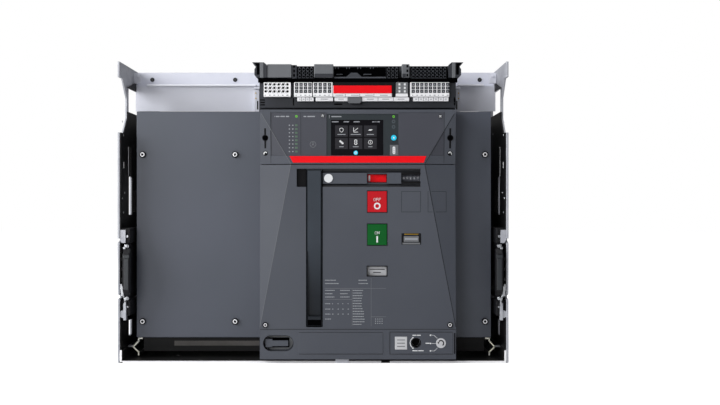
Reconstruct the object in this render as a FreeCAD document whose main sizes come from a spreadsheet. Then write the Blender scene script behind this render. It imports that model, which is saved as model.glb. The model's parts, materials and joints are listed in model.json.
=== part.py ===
import FreeCAD, Part
import Sketcher
import os
import re

# Draw-out air circuit breaker, four poles, in its fixed cradle.
# X runs to the right, Y to the back, Z up. The origin is the middle of the four
# fixing holes in the underside of the cradle's tray.

doc = FreeCAD.newDocument("DrawOutBreaker")
sheet = doc.addObject("Spreadsheet::Sheet", "Sizes")

SIZES = {
    # poles, terminals and isolating contacts
    "pole_count": 4, "pole_pitch": 126, "terminal_width": 90, "terminal_thick": 15,
    "terminal_reach": 71, "terminal_hole": 13.5, "terminal_hole_x": 45,
    "terminal_hole_y": 35, "lower_contact": 112, "contact_spacing": 150,
    "rear_wall_thick": 42.7, "contact_recess": 28, "recess_width": 100,
    "recess_height": 35, "stub_set_back": 5, "jaw_width": 80, "jaw_height": 32,
    "jaw_reach": 19, "jaw_grip": 46,
    # cradle
    "cradle_margin": 47, "cradle_height": 425, "cradle_depth": 300, "wall_sheet": 3,
    "liner_sheet": 1.5, "liner_drop": 67, "rear_slope_fall": 45, "rear_slope_run": 70,
    "ear_height": 22, "ear_reach": 21, "notch_back": 48, "notch_high_drop": 47.5,
    "notch_low_drop": 76, "notch_foot_drop": 100, "notch_foot_run": 23,
    "window_front": 58, "window_length": 92, "window_drop": 31, "window_height": 35,
    "slot_middle": 65, "slot_wide": 24, "slot_narrow": 7, "slot_base": 208,
    "slot_step": 264, "slot_top": 308, "low_slot_base": 30.5, "low_slot_top": 54,
    "catch_bite": 13, "catch_gap": 6.4, "catch_slant": 3.5,
    "tray_sheet": 3, "tray_flange": 18, "fixing_span_x": 400, "fixing_span_y": 200,
    "fixing_hole": 11, "plate_gap": 0.3, "shaft_gap": 0.05,
    # upper crossbar
    "crossbar_front": 106, "crossbar_drop": 61, "crossbar_strip": 24,
    "crossbar_set_back": 19, "crossbar_sheet": 2, "crossbar_hole": 5.5,
    # shutters
    "shutter_sheet": 3, "shutter_height": 44, "shutter_lift": 22, "shutter_guide": 8,
    "guide_lip": 2.7, "guide_lip_reach": 6.5,
    # extraction rails
    "rail_inset": 7.5, "rail_sheet": 2.5, "rail_base": 88, "rail_height": 80,
    "rail_length": 246, "rail_lip": 9, "lip_sheet": 3, "handle_width": 10,
    "handle_height": 67, "handle_depth": 11, "handle_chamfer": 8, "guide_length": 60,
    "guide_over": 22, "guide_under": 22, "guide_set_back": 6, "guide_width": 12,
    # lower guides
    "vee_inset": 16.9, "vee_depth": 8, "vee_base": 5.3, "vee_middle": 17.7,
    "vee_top": 31, "vee_lip": 5, "vee_sheet": 2, "vee_length": 205, "vee_bolt": 2,
    "vee_set_back": 35, "vee_flange": 6,
    # moving part
    "side_room": 20.5, "panel_set_back": 30, "panel_sheet": 3, "panel_base": 32,
    "headroom": 68, "cover_width": 274, "cover_proud": 12, "cover_base": 49.5,
    "unit_height": 76, "cover_wall": 3, "seam_gap": 1, "facet_drop": 10,
    "facet_run_low": 43.5, "facet_foot_rise": -24.5, "facet_run_high": 43.5,
    "facet_head_drop": -6.5, "fascia_base": 7, "fascia_depth": 12, "frame_floor": 40,
    "frame_sheet": 3, "side_plate": 3, "mechanism_depth": 69, "pole_block_depth": 120,
    "pole_block_crown": 23, "pole_cavity": 90, "pole_wall": 10, "chute_gap": 7,
    "chute_width": 110, "support_radius": 6,
    # drive
    "shaft_rise": 78, "main_shaft_radius": 8, "crank_length": 18, "arm_rise": 28,
    "arm_thick": 10, "arm_width": 60, "arm_pin": 4, "cam_radius": 10, "cam_lobe": 16,
    "cam_offset": 46, "spring_offset": 75, "spring_height": 70, "spring_radius": 16,
    # racking gear
    "screw_radius": 6, "screw_length": 223, "screw_set_back": 13, "nut_width": 30,
    "nut_length": 30, "dial_radius": 6.9, "push_width": 17, "push_height": 18,
    "cross_member": 20, "screw_from_right": 55.7, "dial_from_right": 20.9,
    "push_from_right": 76.7, "padlock_from_left": 25.6, "ledge": 4,
    # controls, measured from the cover's left side and down from its upper seam
    "button_width": 27, "button_height": 29.2, "button_depth": 12, "button_from_left": 164,
    "off_drop": 67.3, "on_drop": 113.4, "reset_from_left": 211.6, "reset_drop": 104.8,
    "reset_width": 20.9, "reset_height": 7.6, "lever_from_left": 65.9, "lever_width": 20.6,
    "lever_foot": 4.5, "lever_head_drop": 9, "lever_thick": 9, "lever_pivot_rise": 8,
    "grip_height": 92, "grip_depth": 5.4, "grip_side": 1.6, "flag_half": 6.5,
    "spring_flag_half": 8, "flag_window": 5.3, "spring_window": 6.5,
    "flag_drop": 20, "counter_from_left": 211, "counter_drop": 19.6,
    "spring_flag_drop": 149.7, "turn_from_left": 7.3, "turn_from_right": 7.7,
    "turn_rise": 36.6, "turn_radius": 4.3, "key_radius": 3.8, "home_radius": 3,
    "axle_radius": 1.5,
    "lever_pin_radius": 2.5,
    # auxiliary terminal box
    "box_width": 299, "box_set_back": 5, "box_height": 64, "box_inset": 9.5,
}

# Places that follow from the sizes
PLACES = {
    "cradle_width": "pole_count*pole_pitch + cradle_margin",
    "breaker_width": "cradle_width - side_room*2",
    "upper_contact": "lower_contact + contact_spacing",
    "liner_top": "cradle_height - liner_drop",
    "ear_base": "cradle_height - ear_height",
    "notch_high": "cradle_height - notch_high_drop",
    "notch_low": "cradle_height - notch_low_drop",
    "notch_foot": "cradle_height - notch_foot_drop",
    "window_top": "cradle_height - window_drop",
    "window_base": "window_top - window_height",
    "crossbar_base": "cradle_height - crossbar_drop",
    "crossbar_step": "cradle_height - crossbar_strip",
    "guide_top": "rail_base + rail_height + guide_over",
    "guide_base": "rail_base - guide_under",
    "panel_top": "cradle_height - headroom",
    "cover_top": "panel_top - seam_gap",
    "cover_seam": "cover_top - unit_height",
    "facet_foot": "cover_base + facet_foot_rise",
    "facet_head": "cover_top - facet_head_drop",
    "pole_block_top": "upper_contact + pole_block_crown",
    "chute_top": "panel_top - chute_gap",
    "shaft_z": "lower_contact + shaft_rise",
    "arm_pivot_z": "lower_contact + arm_rise",
    "cover_left": "pole_pitch/2 - cover_width/2",
    "cover_right": "pole_pitch/2 + cover_width/2",
    "padlock_x": "cover_left + padlock_from_left",
    "padlock_z": "(fascia_base + cover_base)/2 + 1.45",
    "screw_x": "cover_right - screw_from_right",
    "screw_z": "padlock_z + 0.4",
    "dial_x": "cover_right - dial_from_right",
    "push_x": "cover_right - push_from_right",
    "button_x": "cover_left + button_from_left",
    "off_base": "cover_seam - off_drop",
    "on_base": "cover_seam - on_drop",
    "reset_x": "cover_left + reset_from_left",
    "reset_z": "cover_seam - reset_drop",
    "lever_left": "cover_left + lever_from_left",
    "lever_base": "cover_base + lever_foot",
    "lever_top": "cover_seam - lever_head_drop",
    "lever_pivot": "lever_base + lever_pivot_rise",
    "flag_z": "cover_seam - flag_drop",
    "counter_x": "cover_left + counter_from_left",
    "counter_z": "cover_seam - counter_drop",
    "spring_flag_z": "cover_seam - spring_flag_drop",
    "turn_left": "cover_left + turn_from_left",
    "turn_right": "cover_right - turn_from_right",
    "turn_z": "cover_seam + turn_rise",
}
for row, (alias, value) in enumerate(SIZES.items(), start=1):
    sheet.set(f"A{row}", alias)
    sheet.set(f"B{row}", str(value))
    sheet.setAlias(f"B{row}", alias)
doc.recompute()

ALIAS = re.compile(r"\b(" + "|".join(SIZES) + r")\b")
PLACE = re.compile(r"\b(" + "|".join(PLACES) + r")\b")
nodes = {}


def cells(text):
    """The expression with each place worked out and each size pointing at its cell."""
    text = str(text)
    while PLACE.search(text):
        text = PLACE.sub(lambda found: f"({PLACES[found[0]]})", text)
    return ALIAS.sub(r"Sizes.\1", text)


def number(text):
    """What an expression comes to now."""
    value = sheet.evalExpression(cells(text))
    return float(getattr(value, "Value", value))


def unique(name):
    """An object name that the document has not used yet."""
    used = sum(1 for item in doc.Objects if item.Name.startswith(name))
    return f"{name}_{used}" if used else name


def box(x, y, z, name="block"):
    """A block between two expressions along each axis."""
    item = doc.addObject("Part::Box", unique(name))
    for axis, side, (low, high) in zip("xyz", ("Length", "Width", "Height"), (x, y, z)):
        item.setExpression(side, cells(f"({high}) - ({low})"))
        item.setExpression(f"Placement.Base.{axis}", cells(low))
    return item


TURNS = {
    "x": FreeCAD.Rotation(FreeCAD.Vector(0, 1, 0), 90),
    "y": FreeCAD.Rotation(FreeCAD.Vector(1, 0, 0), -90),
    "z": FreeCAD.Rotation(),
}


def rod(axis, start, end, first, second, radius, name="rod"):
    """A cylinder along one axis; first and second place it on the other two."""
    item = doc.addObject("Part::Cylinder", unique(name))
    item.Placement.Rotation = TURNS[axis]
    item.setExpression("Radius", cells(radius))
    item.setExpression("Height", cells(f"({end}) - ({start})"))
    others = [other for other in "xyz" if other != axis]
    for other, place in zip([axis] + others, (start, first, second)):
        item.setExpression(f"Placement.Base.{other}", cells(place))
    return item


def joined(pieces, name="joined"):
    """Several shapes as one solid."""
    pieces = list(pieces)
    if len(pieces) == 1:
        return pieces[0]
    item = doc.addObject("Part::MultiFuse", unique(name))
    item.Shapes = pieces
    item.Refine = True
    return item


def group(pieces, name="group"):
    """Several separate solids."""
    item = doc.addObject("Part::Compound", unique(name))
    item.Links = list(pieces)
    return item


def cut(base, tools, name="cut"):
    """The base without the tools."""
    item = doc.addObject("Part::Cut", unique(name))
    item.Base = base
    item.Tool = joined(tools)
    return item


def node(label, item):
    """Gives a finished sub-part its name."""
    item.Label = label
    nodes[label] = item
    return item


def plane(body, role):
    return next(item for item in body.Origin.OriginFeatures if item.Role == role)


def lock(sketch, points):
    """Adds a closed outline whose corners are bound to the sheet."""
    first = sketch.GeometryCount
    spots = [FreeCAD.Vector(number(u), number(v), 0) for u, v in points]
    count = len(spots)
    for turn in range(count):
        sketch.addGeometry(Part.LineSegment(spots[turn], spots[(turn + 1) % count]), False)
    for turn in range(count):
        follow = first + (turn + 1) % count
        sketch.addConstraint(Sketcher.Constraint("Coincident", first + turn, 2, follow, 1))
    for turn, (u, v) in enumerate(points):
        for kind, text, value in (("DistanceX", u, spots[turn].x), ("DistanceY", v, spots[turn].y)):
            link = sketch.addConstraint(Sketcher.Constraint(kind, -1, 1, first + turn, 1, value))
            sketch.setExpression(f"Constraints[{link}]", cells(text))


def sheet_metal(name, role, place, thick, outline, openings=()):
    """A padded outline with openings; the pad grows along the plane's normal."""
    body = doc.addObject("PartDesign::Body", name)
    sketch = body.newObject("Sketcher::SketchObject", f"{name}_outline")
    sketch.AttachmentSupport = (plane(body, role), [""])
    sketch.MapMode = "FlatFace"
    sketch.setExpression("AttachmentOffset.Base.z", cells(place))
    lock(sketch, outline)
    for opening in openings:
        lock(sketch, opening)
    pad = body.newObject("PartDesign::Pad", f"{name}_pad")
    pad.Profile = sketch
    pad.setExpression("Length", cells(thick))
    return body


def rectangle(u0, u1, v0, v1):
    return [(u0, v0), (u1, v0), (u1, v1), (u0, v1)]


def mirrored(side, low, high):
    """A span on the right side, or its mirror image on the left, low end first."""
    return (low, high) if side > 0 else (f"-({high})", f"-({low})")


def solid_of(corners, faces, name):
    """A flat-faced solid from named corners."""
    spots = [FreeCAD.Vector(*(number(value) for value in corner)) for corner in corners]
    skins = [Part.Face(Part.makePolygon([spots[i] for i in face + face[:1]])) for face in faces]
    item = doc.addObject("Part::Feature", unique(name))
    item.Shape = Part.Solid(Part.Shell(skins))
    return item


# Places that several pieces share
outer = "(cradle_width/2)"
wall_in = f"({outer} - wall_sheet)"
liner_in = f"({wall_in} - liner_sheet)"
front = "(-cradle_depth/2)"
back = "(cradle_depth/2)"
rear_face = f"({back} - rear_wall_thick)"
centre = "(pole_pitch/2)"
cover_face = f"({front} - cover_proud)"
panel_face = f"({front} + panel_set_back)"
panel_back = f"({panel_face} + panel_sheet)"
half_breaker = "(breaker_width/2)"
rail_out = f"({liner_in} - rail_inset)"
rail_in = f"({rail_out} - rail_sheet)"
rail_top = "(rail_base + rail_height)"
poles = [f"(pole_pitch*({place} - (pole_count - 1)/2))" for place in range(SIZES["pole_count"])]


# Cradle: side walls and their liners
def slots(front_y):
    """The openings that wall and liner share, in Y and Z."""
    mid = f"({front_y} + slot_middle)"
    narrow = [f"{mid} - slot_narrow/2", f"{mid} + slot_narrow/2"]
    wide = [f"{mid} - slot_wide/2", f"{mid} + slot_wide/2"]
    stepped = [
        (wide[0], "slot_base"), (wide[1], "slot_base"), (wide[1], "slot_step"),
        (narrow[1], "slot_step"), (narrow[1], "slot_top"), (narrow[0], "slot_top"),
        (narrow[0], "slot_step"), (wide[0], "slot_step"),
    ]
    return [stepped, rectangle(wide[0], wide[1], "low_slot_base", "low_slot_top")]


catch_high = "(rail_base + rail_height + catch_gap + 1)"
catch_low = "(rail_base + catch_gap + 2.6)"


def catches(edge, room="0"):
    """Two small notches in the front edge, given from the upper one downward."""
    bite = f"{front} + catch_bite + {room}"
    return [
        (edge, f"{catch_high} + {room}"), (bite, f"{catch_high} + {room}"),
        (bite, f"{catch_high} - catch_gap + catch_slant - {room}/2"),
        (edge, f"{catch_high} - catch_gap - {room}"),
        (edge, f"{catch_low} + {room}"), (bite, f"{catch_low} - catch_slant + {room}/2"),
        (bite, f"{catch_low} - catch_gap - {room}"), (edge, f"{catch_low} - catch_gap - {room}"),
    ]


wall_outline = [
    (front, "0"), (back, "0"), (back, "cradle_height - rear_slope_fall"),
    (f"{back} - rear_slope_run", "cradle_height"), (front, "cradle_height"),
    (front, "ear_base"), (f"{front} + ear_reach", "ear_base"),
    (f"{front} + notch_back", "notch_high"), (f"{front} + notch_back", "notch_low"),
    (f"{front} + notch_foot_run", "notch_foot"), (front, "notch_foot"),
] + catches(front)
window = rectangle(f"{front} + window_front", f"{front} + window_front + window_length",
                   "window_base", "window_top")
liner_outline = [
    (f"{front} + wall_sheet", "tray_flange + plate_gap"), (back, "tray_flange + plate_gap"),
    (back, "liner_top"), (f"{front} + notch_back - wall_sheet", "liner_top"),
    (f"{front} + notch_back - wall_sheet", "notch_low"),
    (f"{front} + notch_foot_run - wall_sheet", "notch_foot"),
    (f"{front} + wall_sheet", "notch_foot"),
] + catches(f"{front} + wall_sheet", "wall_sheet")
for side, word in ((1, "right"), (-1, "left")):
    low = wall_in if side > 0 else f"-{outer}"
    node(f"side_wall_{word}", sheet_metal("side_wall", "YZ_Plane", low, "wall_sheet",
                                          wall_outline, slots(front) + [window]))
    low = liner_in if side > 0 else f"-{wall_in}"
    node(f"wall_liner_{word}", sheet_metal("wall_liner", "YZ_Plane", low, "liner_sheet",
                                           liner_outline, slots(front)))


# Tray under the breaker, with a flange on each side and the four fixing holes
def base_tray():
    floor = box((f"-{wall_in}", wall_in), (front, back), ("0", "tray_sheet"), "tray_floor")
    flanges = [box(mirrored(side, f"{wall_in} - tray_sheet", wall_in), (front, back),
                   ("0", "tray_flange"), "tray_flange_side") for side in (1, -1)]
    holes = [rod("z", "-tray_sheet", "tray_sheet*2", f"{x}*fixing_span_x/2",
                 f"{y}*fixing_span_y/2", "fixing_hole/2", "fixing_hole")
             for x in (1, -1) for y in (1, -1)]
    node("base_tray", cut(joined([floor] + flanges, "tray_sheets"), holes, "tray"))


base_tray()

# Upper crossbar: a folded strip between the walls, with four holes in its top
low_face = f"({front} + crossbar_front)"
high_face = f"({low_face} + crossbar_set_back)"


def upper_crossbar():
    span = (f"-{wall_in}", wall_in)
    strips = [
        box(span, (low_face, f"{low_face} + crossbar_sheet"),
            ("crossbar_base", "crossbar_step + crossbar_sheet"), "crossbar_low"),
        box(span, (low_face, f"{high_face} + crossbar_sheet"),
            ("crossbar_step", "crossbar_step + crossbar_sheet"), "crossbar_step_strip"),
        box(span, (high_face, f"{high_face} + crossbar_sheet"),
            ("crossbar_step", "cradle_height"), "crossbar_high"),
    ]
    height = "(cradle_height - crossbar_hole*2)"
    holes = [rod("y", low_face, f"{high_face} + crossbar_sheet*2", x, height,
                 "crossbar_hole/2", "crossbar_hole_cut")
             for x in (f"-({half_breaker} - 4)", "-(pole_pitch - 2)", f"({half_breaker} - 4)")]
    node("upper_crossbar", cut(joined(strips, "crossbar_strips"), holes, "crossbar"))


upper_crossbar()

# Rear insulating wall: a deep recess round each contact stub
recess_back = f"({rear_face} + contact_recess)"
wall_top = "(liner_top - wall_sheet)"
wall_base = "(tray_flange + plate_gap)"


def contact_span(pole, half):
    return (f"{pole} - {half}", f"{pole} + {half}")


def rear_insulating_wall():
    slab = box((f"-{liner_in}", liner_in), (rear_face, back), (wall_base, wall_top), "rear_slab")
    hollows = []
    for pole in poles:
        for level in ("upper_contact", "lower_contact"):
            hollows.append(box(contact_span(pole, "recess_width/2"),
                               (f"{rear_face} - 1", recess_back),
                               (f"{level} - recess_height/2", f"{level} + recess_height/2"),
                               "contact_recess_cut"))
            hollows.append(box(contact_span(pole, "terminal_width/2"),
                               (recess_back, f"{back} + 1"),
                               (f"{level} - terminal_thick/2", f"{level} + terminal_thick/2"),
                               "terminal_passage"))
    node("rear_insulating_wall", cut(slab, hollows, "rear_wall"))


rear_insulating_wall()
terminal_end = f"({back} + terminal_reach)"
terminal_holes_y = f"({back} + terminal_reach/2)"


def terminals(label, level):
    """Copper bars: a stub in the recess in front, a drilled flat at the back."""
    bars = [box(contact_span(pole, "terminal_width/2"),
                (f"{rear_face} + stub_set_back", terminal_end),
                (f"{level} - terminal_thick/2", f"{level} + terminal_thick/2"), "terminal_bar")
            for pole in poles]
    holes = [rod("z", f"{level} - terminal_thick", f"{level} + terminal_thick",
                 f"{pole} + {x}*terminal_hole_x/2", f"{terminal_holes_y} + {y}*terminal_hole_y/2",
                 "terminal_hole/2", "terminal_hole_cut")
             for pole in poles for x in (1, -1) for y in (1, -1)]
    node(label, cut(group(bars, "terminal_bars"), holes, "terminal_set"))


terminals("upper_terminals", "upper_contact")
terminals("lower_terminals", "lower_contact")

# Shutters: plates that drop or rise over the recesses as the breaker is racked out
shutter_y = (f"{rear_face} - plate_gap - shutter_sheet", f"{rear_face} - plate_gap")
shutter_half = f"({liner_in} - shutter_guide - plate_gap)"
upper_edge = "(upper_contact + jaw_height/2 + shutter_lift)"
lower_edge = "(lower_contact - jaw_height/2 - shutter_lift)"
node("shutter_upper", box((f"-{shutter_half}", shutter_half), shutter_y,
                          (upper_edge, f"{upper_edge} + shutter_height"), "shutter_plate"))
node("shutter_lower", box((f"-{shutter_half}", shutter_half), shutter_y,
                          (f"{lower_edge} - shutter_height", lower_edge), "shutter_plate"))


def shutter_guides():
    channels = []
    lip_back = f"({rear_face} - plate_gap*2 - shutter_sheet)"
    for side in (1, -1):
        strip = box(mirrored(side, f"{liner_in} - shutter_guide", liner_in),
                    (f"{lip_back} - guide_lip", rear_face), (wall_base, wall_top), "guide_strip")
        lip = box(mirrored(side, f"{liner_in} - shutter_guide - guide_lip_reach",
                           f"{liner_in} - shutter_guide + 1"),
                  (f"{lip_back} - guide_lip", lip_back), (wall_base, wall_top), "guide_lip_strip")
        channels.append(joined([strip, lip], "guide_channel"))
    node("shutter_guides", group(channels, "shutter_channels"))


shutter_guides()

# Extraction rails, each an L with its foot under the breaker's side supports
rail_front = f"({front} + shutter_sheet)"
rail_end = f"({rail_front} + rail_length)"
lip_start = f"({panel_back} + guide_set_back)"
rails = []
for side in (1, -1):
    web = box(mirrored(side, rail_in, rail_out), (rail_front, rail_end),
              ("rail_base", rail_top), "rail_web")
    lip = box(mirrored(side, f"{rail_in} - rail_lip", rail_out), (lip_start, rail_end),
              ("rail_base", "rail_base + lip_sheet"), "rail_foot")
    rails.append(joined([web, lip], "rail"))
node("extraction_rails", group(rails, "rail_pair"))

handle_out = f"({rail_out} + 3.5)"
handle_in = f"({handle_out} - handle_width)"
handle_base = "(rail_base + (rail_height - handle_height)/2)"
handle_top = f"({handle_base} + handle_height)"
handle_front = f"({rail_front} - plate_gap - handle_depth)"
handles = []
for side in (1, -1):
    low, _ = mirrored(side, handle_in, handle_out)
    outline = [
        (rail_front, handle_base), (f"{rail_front} - handle_depth/3", handle_base),
        (f"{rail_front} - handle_depth", f"{handle_base} + handle_chamfer"),
        (f"{rail_front} - handle_depth", f"{handle_top} - handle_chamfer"),
        (f"{rail_front} - handle_depth/3", handle_top), (rail_front, handle_top),
    ]
    handles.append(sheet_metal("rail_handle", "YZ_Plane", low, "handle_width", outline))
node("rail_handles", group(handles, "handle_pair"))


def handle_screws():
    """A bright screw above and below each handle, standing on the rail's front edge."""
    screws = []
    for side in (1, -1):
        x = f"{side}*({rail_in} + rail_sheet/2)"
        for z in (f"{handle_base} - 3.5", f"{handle_top} + 3.2"):
            screws.append(rod("y", f"{rail_front} - 3", rail_front, x, z, "2.6", "handle_screw"))
    node("handle_screws", group(screws, "handle_screw_set"))


handle_screws()


# Guide blocks that hold the rails against the liners
def guide_blocks():
    blocks = []
    reach = (f"{front} + guide_set_back", f"{front} + guide_set_back + guide_length")
    for side in (1, -1):
        inward = mirrored(side, f"{liner_in} - guide_width", liner_in)
        back_strip = box(mirrored(side, f"{rail_out} + plate_gap", liner_in),
                         (f"{front} + guide_set_back*3", reach[1]),
                         ("guide_base", "guide_top"), "guide_back")
        top = box(inward, reach, (f"{rail_top} + plate_gap", "guide_top"), "guide_over")
        foot = box(inward, reach, ("guide_base", "rail_base - plate_gap"), "guide_under")
        blocks.append(joined([back_strip, top, foot], "guide_block"))
    node("guide_blocks", group(blocks, "guide_block_set"))


guide_blocks()

# Lower guides: folded V strips that steer the truck, each held by three bolts
vee_end = f"({liner_in} - vee_inset)"
tip = f"({vee_end} + vee_depth)"
vees = []
for side in (1, -1):
    profile = [
        (vee_end, "vee_base"), (vee_end, "vee_base + vee_lip"), (tip, "vee_middle"),
        (vee_end, "vee_top - vee_lip"), (vee_end, "vee_top"), (f"{vee_end} - vee_flange", "vee_top"),
        (f"{vee_end} - vee_flange", "vee_top - vee_sheet"),
        (f"{vee_end} - vee_sheet", "vee_top - vee_sheet"),
        (f"{vee_end} - vee_sheet", "vee_top - vee_lip - vee_sheet/2"),
        (f"{tip} - vee_sheet*1.2", "vee_middle"),
        (f"{vee_end} - vee_sheet", "vee_base + vee_lip + vee_sheet/2"),
        (f"{vee_end} - vee_sheet", "vee_base"),
    ]
    outline = [(f"{side}*({u})", v) for u, v in profile]
    vees.append(sheet_metal("lower_guide", "XZ_Plane", f"-({front} + vee_set_back + vee_length)",
                            "vee_length", outline))
node("lower_guides", group(vees, "vee_pair"))


def guide_bolts():
    """Bolts from the V strips to the flanges of the tray, three on each side."""
    bolts = []
    for side in (1, -1):
        for step in (0.03, 0.5, 0.97):
            y = f"({front} + vee_set_back + vee_length*{step})"
            low, high = mirrored(side, f"{vee_end} + vee_depth", f"{wall_in} - tray_sheet")
            bolts.append(rod("x", low, high, y, "vee_middle", "vee_bolt", "guide_bolt"))
    node("guide_bolts", group(bolts, "guide_bolt_set"))


guide_bolts()


# Racking nut, standing on the tray in line with the screw
def racking_nut():
    block = box(("screw_x - nut_width/2", "screw_x + nut_width/2"), ("0", "nut_length"),
                ("tray_sheet", "screw_z + screw_radius + 2"), "nut_block")
    bore = rod("y", "-1", "nut_length + 1", "screw_x", "screw_z",
               "screw_radius + shaft_gap", "nut_bore")
    node("racking_nut", cut(block, [bore], "nut"))


racking_nut()

# Moving part: floor plate and front cross-member
mechanism_back = f"({panel_back} + mechanism_depth)"
block_back = f"({mechanism_back} + pole_block_depth)"
plate_out = f"({half_breaker} - 4)"
plate_in = f"({plate_out} - side_plate)"
floor_top = "(frame_floor + frame_sheet)"
block_half = f"({plate_in} - plate_gap)"


def underframe():
    floor = box((f"-{plate_out}", plate_out), (panel_back, block_back),
                ("frame_floor", floor_top), "floor_plate")
    member_half = f"({vee_end} - vee_lip - 4)"
    member = box((f"-{member_half}", member_half), (panel_back, f"{panel_back} + cross_member"),
                 ("fascia_base + 5", "frame_floor"), "cross_member_bar")
    bearing = rod("y", f"{panel_back} - 1", f"{panel_back} + cross_member + 1", "screw_x",
                  "screw_z", "screw_radius + shaft_gap", "screw_bearing")
    node("underframe", cut(joined([floor, member], "frame_plates"), [bearing], "frame"))


underframe()


def side_plates():
    """Each plate has two welded studs, which rest on the foot of its rail."""
    height = "(rail_base + lip_sheet + support_radius + shaft_gap)"
    pair = []
    for side in (1, -1):
        plate = box(mirrored(side, plate_in, plate_out), (panel_back, f"{block_back} - pole_wall"),
                    (floor_top, "pole_block_top"), "side_plate_sheet")
        low, high = mirrored(side, f"{plate_out} - side_plate/2", f"{rail_in} - plate_gap")
        studs = [rod("x", low, high, y, height, "support_radius", "support_stud")
                 for y in (f"({lip_start} + 40)", f"({block_back} - pole_wall*3)")]
        pair.append(joined([plate] + studs, "studded_plate"))
    node("mechanism_side_plates", group(pair, "side_plate_pair"))


side_plates()

# Poles: moulded block with a cavity for each pole's contacts
arm_y = f"({mechanism_back} + 60)"
shaft_y = f"({mechanism_back} + 30)"
jaw_half = "(terminal_thick/2 + plate_gap)"
contact_y = f"({arm_y} + arm_thick/2 + plate_gap)"
jaw_start = f"({block_back} + pole_wall)"
jaw_end = f"({rear_face} + jaw_reach)"
shaft_half = "(pole_pitch*(pole_count - 1)/2 + pole_cavity/2 + 6)"


def jaw_bar(pole, level, start):
    return box(contact_span(pole, "jaw_width/2"), (start, f"{jaw_end} - jaw_grip/2"),
               (f"{level} - {jaw_half}", f"{level} + {jaw_half}"), "jaw_bar")


def pole_block():
    block = box((f"-{block_half}", block_half), (mechanism_back, block_back),
                (floor_top, "pole_block_top"), "pole_moulding")
    hollows = []
    for pole in poles:
        hollows.append(box(contact_span(pole, "pole_cavity/2"),
                           (f"{mechanism_back} + pole_wall", f"{block_back} - pole_wall"),
                           (f"{floor_top} + pole_wall", "pole_block_top - pole_wall"),
                           "pole_cavity_cut"))
        for level in ("upper_contact", "lower_contact"):
            hollows.append(jaw_bar(pole, level, f"{block_back} - pole_wall*2"))
    hollows.append(rod("x", f"-{shaft_half}", shaft_half, shaft_y, "shaft_z",
                       "main_shaft_radius + shaft_gap", "shaft_bore"))
    hollows.append(rod("x", f"-{shaft_half}", shaft_half, arm_y, "arm_pivot_z",
                       "arm_pin + shaft_gap", "arm_bore"))
    node("pole_block", cut(block, hollows, "pole_case"))


pole_block()


def arc_chutes():
    chutes = []
    for pole in poles:
        case = box(contact_span(pole, "chute_width/2"),
                   (f"{mechanism_back} + 4", f"{block_back} - pole_wall"),
                   ("pole_block_top", "chute_top"), "chute_case")
        vents = [box((f"{pole} - chute_width/2 + 10", f"{pole} + chute_width/2 - 10"),
                     (f"{mechanism_back} + 14 + {step}*16", f"{mechanism_back} + 20 + {step}*16"),
                     ("chute_top - (chute_top - pole_block_top)*0.4", "chute_top + 1"), "chute_vent")
                 for step in range(6)]
        chutes.append(cut(case, vents, "chute"))
    node("arc_chutes", group(chutes, "chute_set"))


arc_chutes()


def isolating_jaws(label, level, start):
    """Each bar ends in two fingers that grip a stub from above and below."""
    jaws = []
    for pole in poles:
        fingers = [box(contact_span(pole, "jaw_width/2"), (f"{jaw_end} - jaw_grip", jaw_end),
                       span, "jaw_finger")
                   for span in ((f"{level} + {jaw_half}", f"{level} + jaw_height/2"),
                                (f"{level} - jaw_height/2", f"{level} - {jaw_half}"))]
        jaws.append(joined([jaw_bar(pole, level, start)] + fingers, "jaw"))
    node(label, group(jaws, "jaw_set"))


isolating_jaws("upper_jaws", "upper_contact", contact_y)
isolating_jaws("lower_jaws", "lower_contact", f"{arm_y} - 10")


def moving_contacts():
    arms = []
    for pole in poles:
        arm = box(contact_span(pole, "arm_width/2"), (f"{arm_y} - arm_thick/2", f"{arm_y} + arm_thick/2"),
                  ("arm_pivot_z - 10", "upper_contact + 6"), "contact_arm")
        pin = rod("x", f"{pole} - pole_cavity/2 - 5", f"{pole} + pole_cavity/2 + 5", arm_y,
                  "arm_pivot_z", "arm_pin", "contact_pin")
        arms.append(joined([arm, pin], "contact"))
    node("moving_contacts", group(arms, "contact_set"))


moving_contacts()


def main_shaft():
    shaft = rod("x", f"-{shaft_half} + 1", f"{shaft_half} - 1", shaft_y, "shaft_z",
                "main_shaft_radius", "shaft_bar")
    cranks = [box(contact_span(pole, "6"), (f"{shaft_y} - 6", f"{shaft_y} + 6"),
                  ("shaft_z", "shaft_z + crank_length"), "shaft_crank") for pole in poles]
    node("main_shaft", joined([shaft] + cranks, "shaft"))


main_shaft()

# Drive between the front and the poles: two frame plates carry the camshaft
frame_left = "(cover_left + cover_wall + 2)"
frame_right = "(cover_right - cover_wall - 2)"
cam_y = f"({panel_back} + mechanism_depth/2)"
cam_z = "(shaft_z - 40)"


def mechanism_frame():
    bore = [rod("x", frame_left, frame_right, cam_y, cam_z, "cam_radius + shaft_gap",
                "cam_bore")]
    pair = [box(span, (panel_back, mechanism_back), (floor_top, "cover_seam - 20"), "frame_plate")
            for span in ((frame_left, f"{frame_left} + 4"), (f"{frame_right} - 4", frame_right))]
    node("mechanism_frame", cut(group(pair, "frame_pair"), bore, "bored_frame"))


mechanism_frame()


def camshaft():
    shaft = rod("x", frame_left, frame_right, cam_y, cam_z, "cam_radius", "cam_bar")
    cams = [rod("x", f"{centre} + {side}*cam_offset - 4", f"{centre} + {side}*cam_offset + 4",
                f"{cam_y} + cam_lobe/2", f"{cam_z} + 6", "cam_lobe", "cam_disc")
            for side in (-1, 1)]
    node("camshaft", joined([shaft] + cams, "cams"))


camshaft()


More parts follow.
